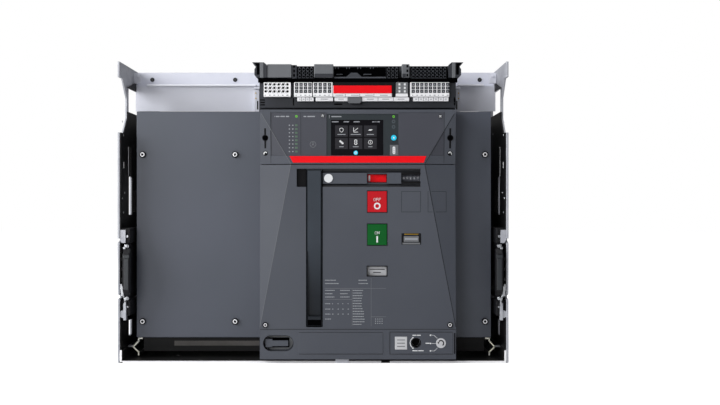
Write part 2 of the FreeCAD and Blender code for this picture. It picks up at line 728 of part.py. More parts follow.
def closing_springs():
    """Two spring barrels standing on the floor plate."""
    barrels = []
    for side in (-1, 1):
        x = f"({centre} + {side}*spring_offset)"
        case = rod("z", floor_top, f"{floor_top} + spring_height", x, cam_y, "spring_radius",
                   "spring_case")
        bore = rod("z", f"{floor_top} - 1", f"{floor_top} + spring_height + 1", x, cam_y,
                   "spring_radius*0.6", "spring_bore")
        barrels.append(cut(case, [bore], "spring"))
    node("closing_springs", group(barrels, "spring_pair"))


closing_springs()

# Blank panels on both sides of the cover, with their screws
node("blank_panel_left", box((f"-{half_breaker}", "cover_left"), (panel_face, panel_back),
                             ("panel_base", "panel_top"), "blank_panel"))
node("blank_panel_right", box(("cover_right", half_breaker), (panel_face, panel_back),
                              ("panel_base", "panel_top"), "blank_panel"))

# Front cover: a shell whose sides fall away in triangular facets at the seam
channel_left = "(lever_left - 14.4)"
channel_right = "(counter_x + 13.6)"
channel_base = "(flag_z - 12)"
channel_top = "(flag_z + 13.4)"
inner_face = f"({cover_face} + cover_wall)"
button_span = ("button_x - button_width/2", "button_x + button_width/2")
counter_span = ("counter_x - 13", "counter_x + 13")


def facet(side, seam, away, run, step_in="0"):
    """The wedge that a facet takes off, moved inward by the wall for the cavity."""
    edge = f"(cover_left + {step_in})" if side < 0 else f"(cover_right - {step_in})"
    outside = f"({edge} + {side}*5)"
    face = f"({cover_face} + {step_in})"
    ahead = f"({face} - 5)"
    corners = [
        (outside, ahead, seam), (f"{edge} - {side}*{run}", ahead, seam),
        (outside, ahead, away), (outside, f"{face} + facet_drop", seam),
        (f"{edge} - {side}*{run}", face, seam), (outside, face, away),
    ]
    faces = [[0, 1, 2], [0, 3, 4, 1], [0, 2, 5, 3], [1, 4, 5, 2], [3, 5, 4]]
    return solid_of(corners, faces, "facet")


def front_shell(base, top, seam, away, run, wall):
    """A box open at the back with a facet at each end of its seam."""
    block = box(("cover_left", "cover_right"), (cover_face, panel_back), (base, top), "cover_block")
    hollow = box(("cover_left + cover_wall", "cover_right - cover_wall"),
                 (f"{cover_face} + {wall}", f"{panel_back} + 1"),
                 (f"{base} + cover_wall", f"{top} - cover_wall"), "cover_hollow")
    outside = [facet(side, seam, away, run) for side in (-1, 1)]
    inside = [facet(side, seam, away, run, wall) for side in (-1, 1)]
    return cut(cut(block, outside, "cover_skin"), [cut(hollow, inside, "cover_room")], "shell")


def through(x, z, start=f"{cover_face} - 1", end=f"{inner_face} + 20"):
    return box(x, (start, end), z, "cover_opening")


def front_cover():
    shell = front_shell("cover_base", "cover_seam - seam_gap", "(cover_seam - seam_gap)",
                        "facet_foot", "facet_run_low", "cover_wall")
    backing = box((f"{channel_left} - 2", f"{channel_right} + 2"), (inner_face, f"{inner_face} + 4"),
                  (f"{channel_base} - 2", f"{channel_top} + 2"), "channel_backing")
    lugs = [box(span, (inner_face, f"{pin_y} + 6"), ("lever_pivot - 7", "lever_pivot + 7"),
                "lever_lug")
            for span in (("lever_left - 8", "lever_left - 2"),
                         ("lever_left + lever_width + 2", "lever_left + lever_width + 8"))]
    carriers = [box(span, (inner_face, f"{drum_y} + 5"), (f"{z} - 5", f"{z} + 5"), "drum_lug")
                for z in ("flag_z", "spring_flag_z")
                for span in ((f"{button_span[0]} - 4", f"{button_span[0]} - 1"),
                             (f"{button_span[1]} + 1", f"{button_span[1]} + 4"))]
    carriers += [box(span, (inner_face, f"{drum_y} + 5"), ("counter_z - 4", "counter_z + 4"),
                     "counter_lug")
                 for span in ((f"{counter_span[0]} - 3", f"{counter_span[0]} - 1"),
                              (f"{counter_span[1]} + 1", f"{counter_span[1]} + 3"))]
    openings = [
        box((channel_left, channel_right), (f"{cover_face} - 1", f"{inner_face} + 1"),
            (channel_base, channel_top), "channel"),
        through(("lever_left - plate_gap", "lever_left + lever_width + plate_gap"),
                ("lever_base - 2", "lever_top + 1")),
        through(("reset_x - reset_width/2 - plate_gap", "reset_x + reset_width/2 + plate_gap"),
                ("reset_z - reset_height/2 - plate_gap", "reset_z + reset_height/2 + plate_gap")),
        through(button_span, ("flag_z - flag_window", "flag_z + flag_window"), end=f"{inner_face} + 6"),
        through(button_span, ("spring_flag_z - spring_window", "spring_flag_z + spring_window"),
                end=f"{inner_face} + 1"),
        through(counter_span, ("counter_z - 5.6", "counter_z + 5.6"), end=f"{inner_face} + 6"),
    ]
    for base in ("off_base", "on_base"):
        openings.append(through((f"{button_span[0]} - plate_gap", f"{button_span[1]} + plate_gap"),
                                (f"{base} - plate_gap", f"{base} + button_height + plate_gap")))
    openings.append(rod("x", "lever_left - 9", "lever_left + lever_width + 9", pin_y,
                        "lever_pivot", "lever_pin_radius", "lever_pin_seat"))
    for z in ("flag_z", "spring_flag_z"):
        openings.append(rod("x", f"{button_span[0]} - 5", f"{button_span[1]} + 5", drum_y, z,
                            "axle_radius + shaft_gap", "drum_seat"))
    openings.append(rod("x", f"{counter_span[0]} - 4", f"{counter_span[1]} + 4", drum_y,
                        "counter_z", "axle_radius", "counter_seat"))
    node("front_cover", cut(joined([shell, backing] + lugs + carriers, "cover_parts"), openings,
                            "cover"))


pin_y = f"({cover_face} + lever_thick/2)"
drum_y = f"({inner_face} + 11)"
front_cover()


def charging_lever():
    arm = box(("lever_left", "lever_left + lever_width"),
              (f"{cover_face} - 1", f"{cover_face} + lever_thick - 1"), ("lever_base", "lever_top"),
              "lever_arm")
    bore = rod("x", "lever_left - 1", "lever_left + lever_width + 1", pin_y, "lever_pivot",
               "lever_pin_radius + shaft_gap", "lever_bore")
    foot = "(lever_pivot + lever_pin_radius*2)"
    face = f"({cover_face} - 1)"
    hollow = sheet_metal("lever_hollow", "YZ_Plane", "lever_left + grip_side",
                         "lever_width - grip_side*2",
                         [(f"{face} - 1", foot), (f"{face} + grip_depth", foot),
                          (face, f"{foot} + grip_height"), (f"{face} - 1", f"{foot} + grip_height")])
    node("charging_lever", cut(arm, [bore, hollow], "lever"))


charging_lever()


def button(label, x, width, base, height):
    """A push button guided by its opening in the cover."""
    node(label, box((f"{x} - {width}/2", f"{x} + {width}/2"),
                    (f"{cover_face} - 0.5", f"{cover_face} + button_depth"),
                    (base, f"{base} + {height}"), "button_block"))


button("off_button", "button_x", "button_width", "off_base", "button_height")
button("on_button", "button_x", "button_width", "on_base", "button_height")
button("reset_button", "reset_x", "reset_width", "(reset_z - reset_height/2)", "reset_height")


def drum(label, z, half, window):
    """A flag drum with four flat faces as high as the window, and an axle stub at each end."""
    span = (f"{button_span[0]} + plate_gap", f"{button_span[1]} - plate_gap")
    barrel = doc.addObject("Part::MultiCommon", unique("drum_barrel"))
    barrel.Shapes = [
        rod("x", *span, drum_y, z, f"sqrt({half}*{half} + {window}*{window})", "drum_round"),
        box(span, (f"{drum_y} - {half}", f"{drum_y} + {half}"), (f"{z} - {half}", f"{z} + {half}"),
            "drum_flats"),
    ]
    axle = rod("x", f"{button_span[0]} - 4", f"{button_span[1]} + 4", drum_y, z, "axle_radius",
               "drum_axle")
    node(label, joined([barrel, axle], "drum"))


drum("contact_flag", "flag_z", "flag_half", "flag_window")
drum("spring_flag", "spring_flag_z", "spring_flag_half", "spring_window")


def counter_wheels():
    """Four upper digits and, apart from them, the units wheel on the right."""
    width = "4.6"
    wheels = []
    for place in range(5):
        left = f"({counter_span[0]} + 1 + {place}*5)"
        ring = rod("x", left, f"{left} + {width}", drum_y, "counter_z", "6.5", "digit_wheel")
        bore = rod("x", f"{left} - 1", f"{left} + 6", drum_y, "counter_z",
                   "axle_radius + shaft_gap", "digit_bore")
        wheels.append(cut(ring, [bore], "digit"))
    node("counter_upper_wheels", group(wheels[:4], "digit_set"))
    node("counter_units_wheel", wheels[4])


counter_wheels()


def front_screws():
    """Six in the blank panels, two at the foot of the cover."""
    screws = [rod("y", f"{panel_face} - 3", panel_face, x, z, "4.5", "panel_screw")
              for x in (f"-({half_breaker} - 9)", "-(pole_pitch - 13)", f"({half_breaker} - 9)")
              for z in ("panel_top - 62", "panel_base + 23.2")]
    screws += [rod("y", f"{cover_face} - 1.2", cover_face, x, "cover_base + 5.7", "3.5",
                   "cover_screw") for x in ("cover_left + 7.8", "cover_right - 8.3")]
    node("front_screws", group(screws, "front_screw_set"))


front_screws()

# Upper unit: bezel, signalling plate, display module, right blank module, red stripe
bezel_wall = "(cover_wall*2)"
unit_base = "(cover_seam + 11.7)"
plate_top = "(cover_top - 4)"
plate_face = "0.4"
display_left = f"({centre} - 43.6)"
display_right = f"({centre} + 57)"


def faceted(side, span, set_back, ahead="0"):
    """The room behind a plate's face: a block whose outer corner follows the facet."""
    block = box(span, (f"{cover_face} + {set_back} - {ahead}", f"{cover_face} + 16"),
                (unit_base, plate_top), "plate_room")
    if ahead != "0":
        return block
    return cut(block, [facet(side, "cover_seam", "facet_head", "facet_run_high", set_back)],
               "faceted_room")


plate_spans = ((-1, ("cover_left + 15.1", display_left)),
               (1, (display_right, "cover_right - 16.3")))


def bezel():
    shell = front_shell("cover_seam", "cover_top", "cover_seam", "facet_head",
                        "facet_run_high", bezel_wall)
    openings = [cut(faceted(side, span, "0", "1"), [faceted(side, span, "cover_wall")],
                    "plate_pocket") for side, span in plate_spans]
    openings += [
        box((display_left, display_right), (f"{cover_face} - 1", f"{inner_face} + 10"),
            (unit_base, "cover_top - 5.9"), "display_opening"),
    ]
    openings += [rod("y", f"{cover_face} - 1", f"{cover_face} + 20", x, "turn_z",
                     "turn_radius + shaft_gap", "turn_hole")
                 for x in ("turn_left", "turn_right")]
    node("trip_unit_bezel", cut(shell, openings, "bezel"))


bezel()
home_x, home_z = f"({display_left} + 40.7)", "(cover_seam + 15.6)"
test_x, test_z = f"({display_right} - 6.8)", "turn_z"


keys = (("home_button", home_x, home_z, "home_radius"), ("test_button", test_x, test_z, "key_radius"))

node("module_plates", group([
    cut(faceted(side, span, plate_face), [faceted(side, span, "cover_wall")], "module_plate")
    for side, span in plate_spans
], "module_pair"))
node("display_module", cut(
    box((display_left, display_right), (f"{cover_face} + 1", f"{cover_face} + 28"),
        (unit_base, "cover_top - 5.9"), "display_case"),
    [rod("y", f"{cover_face} - 2", f"{cover_face} + 8", x, z, f"{radius} + shaft_gap*2", "key_hole")
     for label, x, z, radius in keys], "keyed_case"))
for label, x, z, radius in keys:
    node(label, rod("y", f"{cover_face} - 0.2", f"{cover_face} + 5", x, z, radius, "key"))
node("red_stripe", box(("cover_left + 41.5", "cover_right - 41.5"),
                       (f"{cover_face} - 0.8", cover_face),
                       ("cover_seam + 1.9", "cover_seam + 11"), "stripe"))
for label, x in (("quarter_turn_left", "turn_left"), ("quarter_turn_right", "turn_right")):
    node(label, rod("y", f"{cover_face} + 2.5", f"{cover_face} + 22", x, "turn_z", "turn_radius",
                    "quarter_turn"))

# Racking fascia under the cover, with its levers and dials
socket_radius = "(screw_radius + 0.6)"
pocket_half = "10.2"
pocket_radius = "10.8"
padlock_pin_x = "(padlock_x - 15.4)"
padlock_pin_y = f"({cover_face} + 5)"
fascia_face = f"({cover_face} + fascia_depth)"
plate_back = f"({fascia_face} - 2)"


def fascia():
    """The fascia, and the control plate that lies on a ledge in its window."""
    block = box(("cover_left", "cover_right"), (cover_face, panel_back), ("fascia_base", "cover_base"),
                "fascia_block")
    hollow = box(("cover_left + cover_wall", "cover_right - cover_wall"),
                 (fascia_face, f"{panel_back} + 1"),
                 ("fascia_base + cover_wall", "cover_base - cover_wall"), "fascia_hollow")
    plate_x = ("push_x - push_width/2 - 7.5", "cover_right - 4.5")
    plate_z = ("padlock_z - 14.9", "padlock_z + 15.6")
    openings = [
        hollow,
        box((f"padlock_x - {pocket_half}", f"padlock_x + {pocket_half}"),
            (f"{cover_face} - 1", f"{fascia_face} - 2"),
            (f"padlock_z - {pocket_radius}", f"padlock_z + {pocket_radius}"), "padlock_pocket"),
        rod("z", "padlock_z - 13", "padlock_z + 13", padlock_pin_x, padlock_pin_y, "1.5",
            "padlock_pin_seat"),
        box((f"{plate_x[0]} - plate_gap", f"{plate_x[1]} + plate_gap"),
            (f"{cover_face} - 1", plate_back),
            (f"{plate_z[0]} - plate_gap", f"{plate_z[1]} + plate_gap"), "plate_seat"),
        box((f"{plate_x[0]} + ledge", f"{plate_x[1]} - ledge"), (f"{cover_face} - 1", f"{fascia_face} + 1"),
            (f"{plate_z[0]} + ledge", f"{plate_z[1]} - ledge"), "plate_window"),
    ]
    openings += [rod("y", f"{cover_face} - 1", f"{fascia_face} - 2", f"padlock_x + {x}*{pocket_half}",
                     "padlock_z", pocket_radius, "pocket_end") for x in (-1, 1)]
    holes = [
        rod("y", f"{cover_face} - 1", fascia_face, "screw_x", "screw_z", socket_radius, "crank_hole"),
        rod("y", f"{cover_face} - 1", fascia_face, "dial_x", "padlock_z",
            "dial_radius + shaft_gap", "dial_hole"),
        box(("push_x - push_width/2 - plate_gap/2", "push_x + push_width/2 + plate_gap/2"),
            (f"{cover_face} - 1", fascia_face),
            ("padlock_z - push_height/2 - plate_gap/2", "padlock_z + push_height/2 + plate_gap/2"),
            "push_hole"),
    ]
    plate = box(plate_x, (cover_face, plate_back), plate_z, "control_plate")
    node("racking_fascia", group([cut(block, openings, "fascia"), cut(plate, holes, "drilled_plate")],
                                 "fascia_pair"))


fascia()


def front_pins():
    """Pivots of the charging lever and the padlock lever, and the counter's axle."""
    node("front_pins", group([
        rod("x", "lever_left - 8", "lever_left + lever_width + 8", pin_y, "lever_pivot",
            "lever_pin_radius", "lever_pin"),
        rod("z", "padlock_z - 13", "padlock_z + 13", padlock_pin_x, padlock_pin_y, "1.5",
            "padlock_pin"),
        rod("x", f"{counter_span[0]} - 3", f"{counter_span[1]} + 3", drum_y, "counter_z",
            "axle_radius", "counter_axle"),
    ], "pins"))


front_pins()


def padlock_lever():
    depth = (f"{padlock_pin_y} - 2.5", f"{padlock_pin_y} + 2.5")
    head = box(("padlock_x - 18", "padlock_x - 8.3"), depth,
               ("padlock_z - 5.8", "padlock_z + 5.4"), "padlock_head")
    bar = box(("padlock_x - 9", "padlock_x + 13.8"), depth,
              ("padlock_z - 4.5", "padlock_z + 3.3"), "padlock_bar")
    bore = rod("z", "padlock_z - 13", "padlock_z + 13", padlock_pin_x, padlock_pin_y,
               "1.5 + shaft_gap", "padlock_bore")
    node("padlock_lever", cut(joined([head, bar], "padlock_parts"), [bore], "padlock"))


padlock_lever()

# Plain inserts: the key-lock plate, and the raised block between flag and counter
node("cover_inserts", group([
    box(("cover_left + 54.6", "push_x - push_width/2 - 17"),
        (f"{cover_face} - 0.6", cover_face), ("padlock_z - 14.4", "padlock_z + 14.5"),
        "key_plate"),
    box((f"{button_span[1]} + 0.3", f"{counter_span[0]} - 0.3"),
        (f"{cover_face} + 1", f"{inner_face} + 1"), ("flag_z - 7", "flag_z + 8"),
        "raised_block"),
], "inserts"))
node("racking_release_button",
     box(("push_x - push_width/2", "push_x + push_width/2"),
         (f"{cover_face} - 0.5", f"{fascia_face} + 3"),
         ("padlock_z - push_height/2", "padlock_z + push_height/2"), "release_push"))
node("position_dial", rod("y", f"{cover_face} - 0.5", f"{fascia_face} + 2", "dial_x",
                          "padlock_z", "dial_radius", "dial"))
screw_head = f"({cover_face} + screw_set_back)"
node("racking_screw", rod("y", screw_head, f"{screw_head} + screw_length",
                          "screw_x", "screw_z", "screw_radius", "screw"))

# Auxiliary terminal box over the front cover, hung on the crossbar
box_left = f"({centre} - box_width/2)"
box_right = f"({centre} + box_width/2)"
box_front = f"({front} + box_set_back)"
box_base = "(cradle_height - box_height)"


# Spans along the box, measured from its left end
LIDS = ((21.2, 55.8), (87.6, 115), (212, 222.8))
FUNNELS = ((55.8, 63, 19), (63.6, 87.6, 16), (190.8, 205, 16), (224.2, 276.1, 16))
FACES = ((16.2, 54.4), (59.3, 84.8), (86.2, 113.8), (114.5, 197.9), (203.6, 220.6), (224, 279.3))
LABELS = ((63.6, 86.9), (89.7, 114.5), (116.6, 135), (155.5, 222.6), (228.3, 278.5))


def along_box(low, high):
    return (f"{box_left} + {low}", f"{box_left} + {high}")


def terminal_box():
    """The housing: a back, a ledge, a hooked horn at each end and the wire funnels between."""
    body = (f"{box_left} + box_inset", f"{box_right} - box_inset")
    back_part = box(body, (f"{box_front} + 30", low_face), (box_base, "cradle_height - 2"), "box_back")
    ledge_part = box(body, (f"{box_front} + 12", f"{box_front} + 31"),
                     (box_base, "cradle_height - 22"), "box_ledge")
    parts = [back_part, ledge_part]
    horn = [(0, 0.5), (16.5, 0.5), (21, 4.2), (21, 22), (7, 22), (3.3, 18.5), (3.3, 10.5), (5.5, 6.5)]
    for side, end in ((1, box_left), (-1, box_right)):
        outline = [(f"{end} + {side}*{u}", f"cradle_height - {v}") for u, v in horn]
        parts.append(sheet_metal("box_horn", "XZ_Plane", f"-({box_front} + 31)", "31", outline))
    for low, high, rise in FUNNELS:
        parts.append(box(along_box(low, high), (f"{box_front} + 3", f"{box_front} + 31"),
                         ("cradle_height - 23", f"cradle_height - 23 + {rise}"), "wire_funnel"))
    node("terminal_box", joined(parts, "box_body"))


def terminal_covers():
    lids = [box(along_box(low, high), (f"{box_front} + 1", f"{box_front} + 30"),
                ("cradle_height - 22", "cradle_height - 3"), "terminal_lid")
            for low, high in LIDS]
    node("terminal_covers", group(lids, "terminal_lids"))


def terminal_blocks():
    """The wire faces, and the label strips that stand a little further back."""
    pieces = [box(along_box(low, high), (f"{box_front} + 4", f"{box_front} + 12"),
                  ("cradle_height - 48.8", "cradle_height - 28.5"), "terminal_face")
              for low, high in FACES]
    pieces += [box(along_box(low, high), (f"{box_front} + 6", f"{box_front} + 12"),
                   ("cradle_height - 55", "cradle_height - 49.3"), "label_face")
               for low, high in LABELS]
    node("terminal_blocks", group(pieces, "terminal_faces"))


terminal_box()
terminal_covers()
terminal_blocks()

doc.recompute()
for item in doc.Objects:
    if "Invalid" in item.State or "Error" in item.State:
        raise RuntimeError(f"{item.Label} did not build")
for label, item in nodes.items():
    if item.Shape.isNull() or not item.Shape.isValid():
        raise RuntimeError(f"{label} has no sound shape")
os.makedirs("parts", exist_ok=True)
for label, item in nodes.items():
    item.Shape.exportStep(f"parts/{label}.step")
print(f"{len(nodes)} sub-parts written")
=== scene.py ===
import bpy, bmesh, json, math, random
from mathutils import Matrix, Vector


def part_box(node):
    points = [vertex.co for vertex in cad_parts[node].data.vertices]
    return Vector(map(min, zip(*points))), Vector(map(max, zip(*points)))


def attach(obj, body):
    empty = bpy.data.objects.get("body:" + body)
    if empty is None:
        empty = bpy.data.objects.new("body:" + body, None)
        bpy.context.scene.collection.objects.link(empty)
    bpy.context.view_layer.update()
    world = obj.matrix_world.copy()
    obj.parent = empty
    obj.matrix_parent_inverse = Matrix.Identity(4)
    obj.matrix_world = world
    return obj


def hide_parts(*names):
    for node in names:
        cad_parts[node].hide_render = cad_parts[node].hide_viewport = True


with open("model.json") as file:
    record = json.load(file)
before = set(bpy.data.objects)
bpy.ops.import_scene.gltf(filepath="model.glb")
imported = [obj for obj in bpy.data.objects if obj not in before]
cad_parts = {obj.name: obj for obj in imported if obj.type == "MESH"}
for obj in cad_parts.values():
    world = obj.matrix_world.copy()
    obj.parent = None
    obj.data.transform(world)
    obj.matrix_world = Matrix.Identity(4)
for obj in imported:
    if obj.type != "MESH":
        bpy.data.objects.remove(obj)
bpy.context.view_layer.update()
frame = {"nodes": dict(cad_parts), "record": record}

# Draw-out air circuit breaker in its cradle, dressed for a plain studio picture.
mm = 0.001
nodes = frame["nodes"]
materials = {}


def hexColour(code):
    parts = [int(code[i:i + 2], 16) / 255 for i in (1, 3, 5)]
    linear = [part / 12.92 if part <= 0.04045 else ((part + 0.055) / 1.055) ** 2.4 for part in parts]
    return (*linear, 1)


def addNode(tree, kind, settings=None, links=None):
    node = tree.nodes.new(kind)
    for name, value in (settings or {}).items():
        if isinstance(name, int) or name in node.inputs:
            node.inputs[name].default_value = value
        else:
            setattr(node, name, value)
    for name, source in (links or {}).items():
        tree.links.new(source, node.inputs[name])
    return node


def newMaterial(name):
    material = bpy.data.materials.new(name)
    material.use_nodes = True
    return material, material.node_tree, material.node_tree.nodes["Principled BSDF"]


def newObject(name, data):
    item = bpy.data.objects.new(name, data)
    bpy.context.scene.collection.objects.link(item)
    return item


# Every finish starts here: a colour that drifts between two tones over clouds of cloudMm, and a
# grain for the bump and the shine. grainMm is the size of one grain of the real surface.
# paintedShade is painted shade that darkens the colour towards the bottom: a shade colour, and the heights in
# mm where it has taken over and where it starts. wornBy names the CAD nodes that wear the finish.
def finish(name, colour, colour2, rough, grainMm, bump=0.15, ior=None, metallic=0, cloudMm=60,
           roughDrift=0.04, stretch=None, spangled=False, paintedShade=None, wornBy=""):
    material, tree, shader = newMaterial(name)
    shader.inputs["Metallic"].default_value = metallic
    if ior:
        shader.inputs["IOR"].default_value = ior
    place = addNode(tree, "ShaderNodeTexCoord").outputs["Object"]
    if stretch:
        place = addNode(tree, "ShaderNodeMapping", {"Scale": stretch}, {"Vector": place}).outputs[0]
    grain = addNode(tree, "ShaderNodeTexNoise", {"Scale": 1000 / grainMm, "Detail": 2, "Roughness": 0.6},
                    {"Vector": place})
    if spangled:   # zinc crystals, each a slightly other grey
        cells = addNode(tree, "ShaderNodeTexVoronoi", {"Scale": 1000 / cloudMm}, {"Vector": place})
        tone = addNode(tree, "ShaderNodeSeparateColor", {}, {"Color": cells.outputs["Color"]}).outputs[0]
    else:
        tone = addNode(tree, "ShaderNodeTexNoise", {"Scale": 1000 / cloudMm, "Detail": 3},
                       {"Vector": place}).outputs[0]
    spread = addNode(tree, "ShaderNodeMapRange", {"From Min": 0.25, "From Max": 0.75}, {"Value": tone})
    paint = addNode(tree, "ShaderNodeMix", {"data_type": "RGBA", 6: hexColour(colour), 7: hexColour(colour2)},
                    {0: spread.outputs[0]}).outputs[2]
    if paintedShade:
        shade, full, start = paintedShade
        high = addNode(tree, "ShaderNodeSeparateXYZ", {}, {"Vector": place}).outputs["Z"]
        share = addNode(tree, "ShaderNodeMapRange", {"From Min": start * mm, "From Max": full * mm},
                        {"Value": high})
        paint = addNode(tree, "ShaderNodeMix", {"data_type": "RGBA", 7: hexColour(shade)},
                        {0: share.outputs[0], 6: paint}).outputs[2]
    tree.links.new(paint, shader.inputs["Base Color"])
    shine = addNode(tree, "ShaderNodeMapRange", {"To Min": rough - roughDrift, "To Max": rough + roughDrift},
                    {"Value": grain.outputs[0]})
    tree.links.new(shine.outputs[0], shader.inputs["Roughness"])
    relief = addNode(tree, "ShaderNodeBump", {"Strength": bump, "Distance": grainMm * 0.1 * mm},
                     {"Height": grain.outputs[0]})
    tree.links.new(relief.outputs[0], shader.inputs["Normal"])
    materials[name] = material
    for node in wornBy.split():
        slots = nodes[node].data.materials
        slots.clear()
        slots.append(material)


# Finishes of the real materials, with some copies painted darker or lighter as shade or light,
# as marked at each. Moulded glass-filled polymer has a fine spark-eroded grain; powder coat an
# orange-peel of about a millimetre; galvanised sheet shows crystals about 12 mm across.
finish("mouldedAnthracite", "#42464F", "#393D47", 0.52, 0.9, bump=0.22, ior=1.5, cloudMm=140,
       wornBy="front_cover trip_unit_bezel racking_fascia cover_inserts padlock_lever")
finish("powderAnthracite", "#484C58", "#40454F", 0.46, 1.6, bump=0.16, ior=1.5, cloudMm=150,
       wornBy="blank_panel_left blank_panel_right")
finish("modulePlate", "#3D3F48", "#373942", 0.5, 0.9, bump=0.2, ior=1.45, cloudMm=140,
       wornBy="module_plates")
finish("mouldedGrey", "#606267", "#56595D", 0.5, 0.9, ior=1.5,
       wornBy="terminal_covers arc_chutes shutter_upper shutter_lower")
finish("bayGrey", "#40434A", "#393C42", 0.5, 0.9, ior=1.4)
finish("terminalGrey", "#292C34", "#25272C", 0.5, 0.9, ior=1.4, wornBy="terminal_box")
# The charging lever's hollow grip gets painted shade, darker towards its foot
finish("leverGrey", "#313841", "#2C323A", 0.46, 0.9, ior=1.35, paintedShade=("#11171F", 95, 172),
       wornBy="charging_lever")
# Painted shade, for the channel's slopes and the crease along the right-hand slope
finish("shadeGreyPaint", "#1F2125", "#1B1C20", 0.5, 0.9, ior=1.35)
finish("darkKnob", "#2F3136", "#2A2B30", 0.4, 0.7, ior=1.5)
finish("handleGrey", "#23272C", "#1E2227", 0.42, 0.8, ior=1.5)
finish("displayHousing", "#2B3135", "#262C31", 0.4, 0.7, ior=1.35, wornBy="display_module")
finish("counterDrum", "#63656D", "#5B5D65", 0.5, 0.7, ior=1.3,
       wornBy="counter_upper_wheels counter_units_wheel")
finish("blackMoulding", "#121215", "#1A1A1E", 0.48, 0.8, bump=0.2, ior=1.3,
       wornBy="guide_blocks rail_handles shutter_guides")
finish("phenolic", "#2A2623", "#332E2A", 0.5, 1.4, ior=1.55, wornBy="rear_insulating_wall pole_block")
finish("redMoulding", "#B81B24", "#AD1620", 0.38, 0.7, ior=1.2, wornBy="off_button")
finish("greenMoulding", "#0E5824", "#0C5020", 0.38, 0.7, ior=1.2, wornBy="on_button")
finish("paleMoulding", "#BDBEC1", "#B3B4B8", 0.45, 0.7, ior=1.5,
       wornBy="spring_flag racking_release_button position_dial")
finish("greyMoulding", "#6B6D71", "#65676A", 0.45, 0.7, ior=1.4, wornBy="reset_button")
finish("whiteMoulding", "#F0F0F2", "#E3E3E7", 0.45, 0.7, ior=1.5, wornBy="terminal_blocks")
finish("redFilm", "#E6151E", "#DF111B", 0.33, 1.5, bump=0.05, ior=1.2, wornBy="red_stripe contact_flag")
finish("galvanised", "#A3A5AD", "#ABADB4", 0.5, 2.5, bump=0.08, metallic=0.2, cloudMm=12, spangled=True,
       roughDrift=0.05, wornBy="side_wall_left side_wall_right mechanism_side_plates mechanism_frame")
# Painted light: galvanised sheet painted paler than the walls for the crossbar, its folded tabs and the box
# brackets, where the walls shade them
finish("paintedLitSheet", "#CBCDD8", "#D2D4DE", 0.5, 2.5, bump=0.05, cloudMm=40, ior=1.4,
       wornBy="upper_crossbar")
# Painted shade: galvanised sheet painted near black for the tray and the lower guides, as the shade inside
# the cradle
finish("shadedZinc", "#171719", "#232323", 0.5, 2.5, metallic=0.4, cloudMm=30,
       wornBy="base_tray lower_guides")
finish("dullZinc", "#302E2C", "#474443", 0.5, 2.5, metallic=0.3, cloudMm=35)
# Painted highlight: a paler sheet for the lit lip of the crossbar and the tab on the tray's edge
finish("sheetHighlight", "#E2E4EC", "#DADCE6", 0.4, 1.5, bump=0.04)
finish("guideHighlight", "#FFFFFB", "#FFFDE2", 0.4, 1.2, metallic=0.1, cloudMm=18)
finish("screwZinc", "#F4F5F8", "#E6E7EC", 0.35, 0.8, metallic=0.25, ior=1.5)
finish("brightZinc", "#C8CACE", "#AFB2B8", 0.3, 0.8, metallic=1.0, cloudMm=10,
       wornBy="guide_bolts racking_nut handle_screws main_shaft camshaft")
finish("turnedSteel", "#B9BBBF", "#9C9FA4", 0.28, 0.5, metallic=1.0, stretch=(1, 18, 1), cloudMm=12,
       wornBy="racking_screw")
finish("blackenedSteel", "#26262A", "#313136", 0.42, 0.9, metallic=0.7,
       wornBy="extraction_rails closing_springs front_pins")
finish("blackSheet", "#070708", "#0D0D0F", 0.5, 1.2, ior=1.25,
       wornBy="wall_liner_left wall_liner_right underframe")
finish("copperBar", "#C8805C", "#B16A48", 0.33, 0.6, metallic=1.0, stretch=(16, 1, 1), cloudMm=35,
       roughDrift=0.08, wornBy="upper_terminals lower_terminals moving_contacts")
finish("silveredCopper", "#C9C6C0", "#B4AFA6", 0.32, 0.7, metallic=1.0, cloudMm=20,
       wornBy="upper_jaws lower_jaws")
finish("brassBit", "#C9A548", "#B8943C", 0.32, 0.6, metallic=1.0)
for name, colour, colour2 in (
        ("whiteInk", "#DADCDE", "#D0D2D5"), ("ratingInk", "#9B9FA3", "#94979C"),
        ("greyInk", "#8F9298", "#868990"), ("faintInk", "#686A6F", "#616368")):
    finish(name, colour, colour2, 0.5, 0.4, bump=0.04)
finish("shadowInk", "#2D2F33", "#2A2B2F", 0.6, 0.4, bump=0.04, ior=1.3)
finish("blackInk", "#09090B", "#101013", 0.6, 0.4, bump=0.04, ior=1.2,
       wornBy="front_screws quarter_turn_left quarter_turn_right")
finish("deepBlack", "#020203", "#040405", 0.8, 0.6, ior=1.05)
finish("screenGlass", "#121215", "#0F0E12", 0.14, 4, bump=0.01, ior=1.2, roughDrift=0.02)
finish("screenTile", "#28272C", "#242429", 0.2, 4, bump=0.01)
finish("cyanKey", "#1DCAED", "#19BFE2", 0.32, 0.6, ior=1.5, wornBy="home_button test_button")
finish("greenLens", "#6ABB43", "#62B03C", 0.2, 0.6, ior=1.5)
finish("smokedLens", "#50575D", "#484F55", 0.2, 0.6, ior=1.5)
finish("dullLens", "#4D6554", "#465E4D", 0.3, 0.6, ior=1.5)
print("materials", len(materials))

bodyOf = {member: body for body, members in frame["record"]["behaviour"]["bodies"].items()
          for member in members}


# Mesh work in millimetres, seen from the front: x to the right, z up, y into the object.
# A solid is a near and a far ring of corners. rectangle and circle give outlines, and the other
# functions here give lists of solids.
def prism(outline, y):
    return [[[(x, depth, z) for x, z in outline] for depth in y]]


# A bar along x whose section is given in y and z
def bar(x, section):
    return [[[(end, y, z) for y, z in section] for end in x]]


def rectangle(across, up):
    return [(across[0], up[0]), (across[1], up[0]), (across[1], up[1]), (across[0], up[1])]


def block(x, y, z):
    return prism(rectangle(x, z), y)


def blocks(xs, y, zs):
    return joined(block(x, y, z) for x in xs for z in zs)


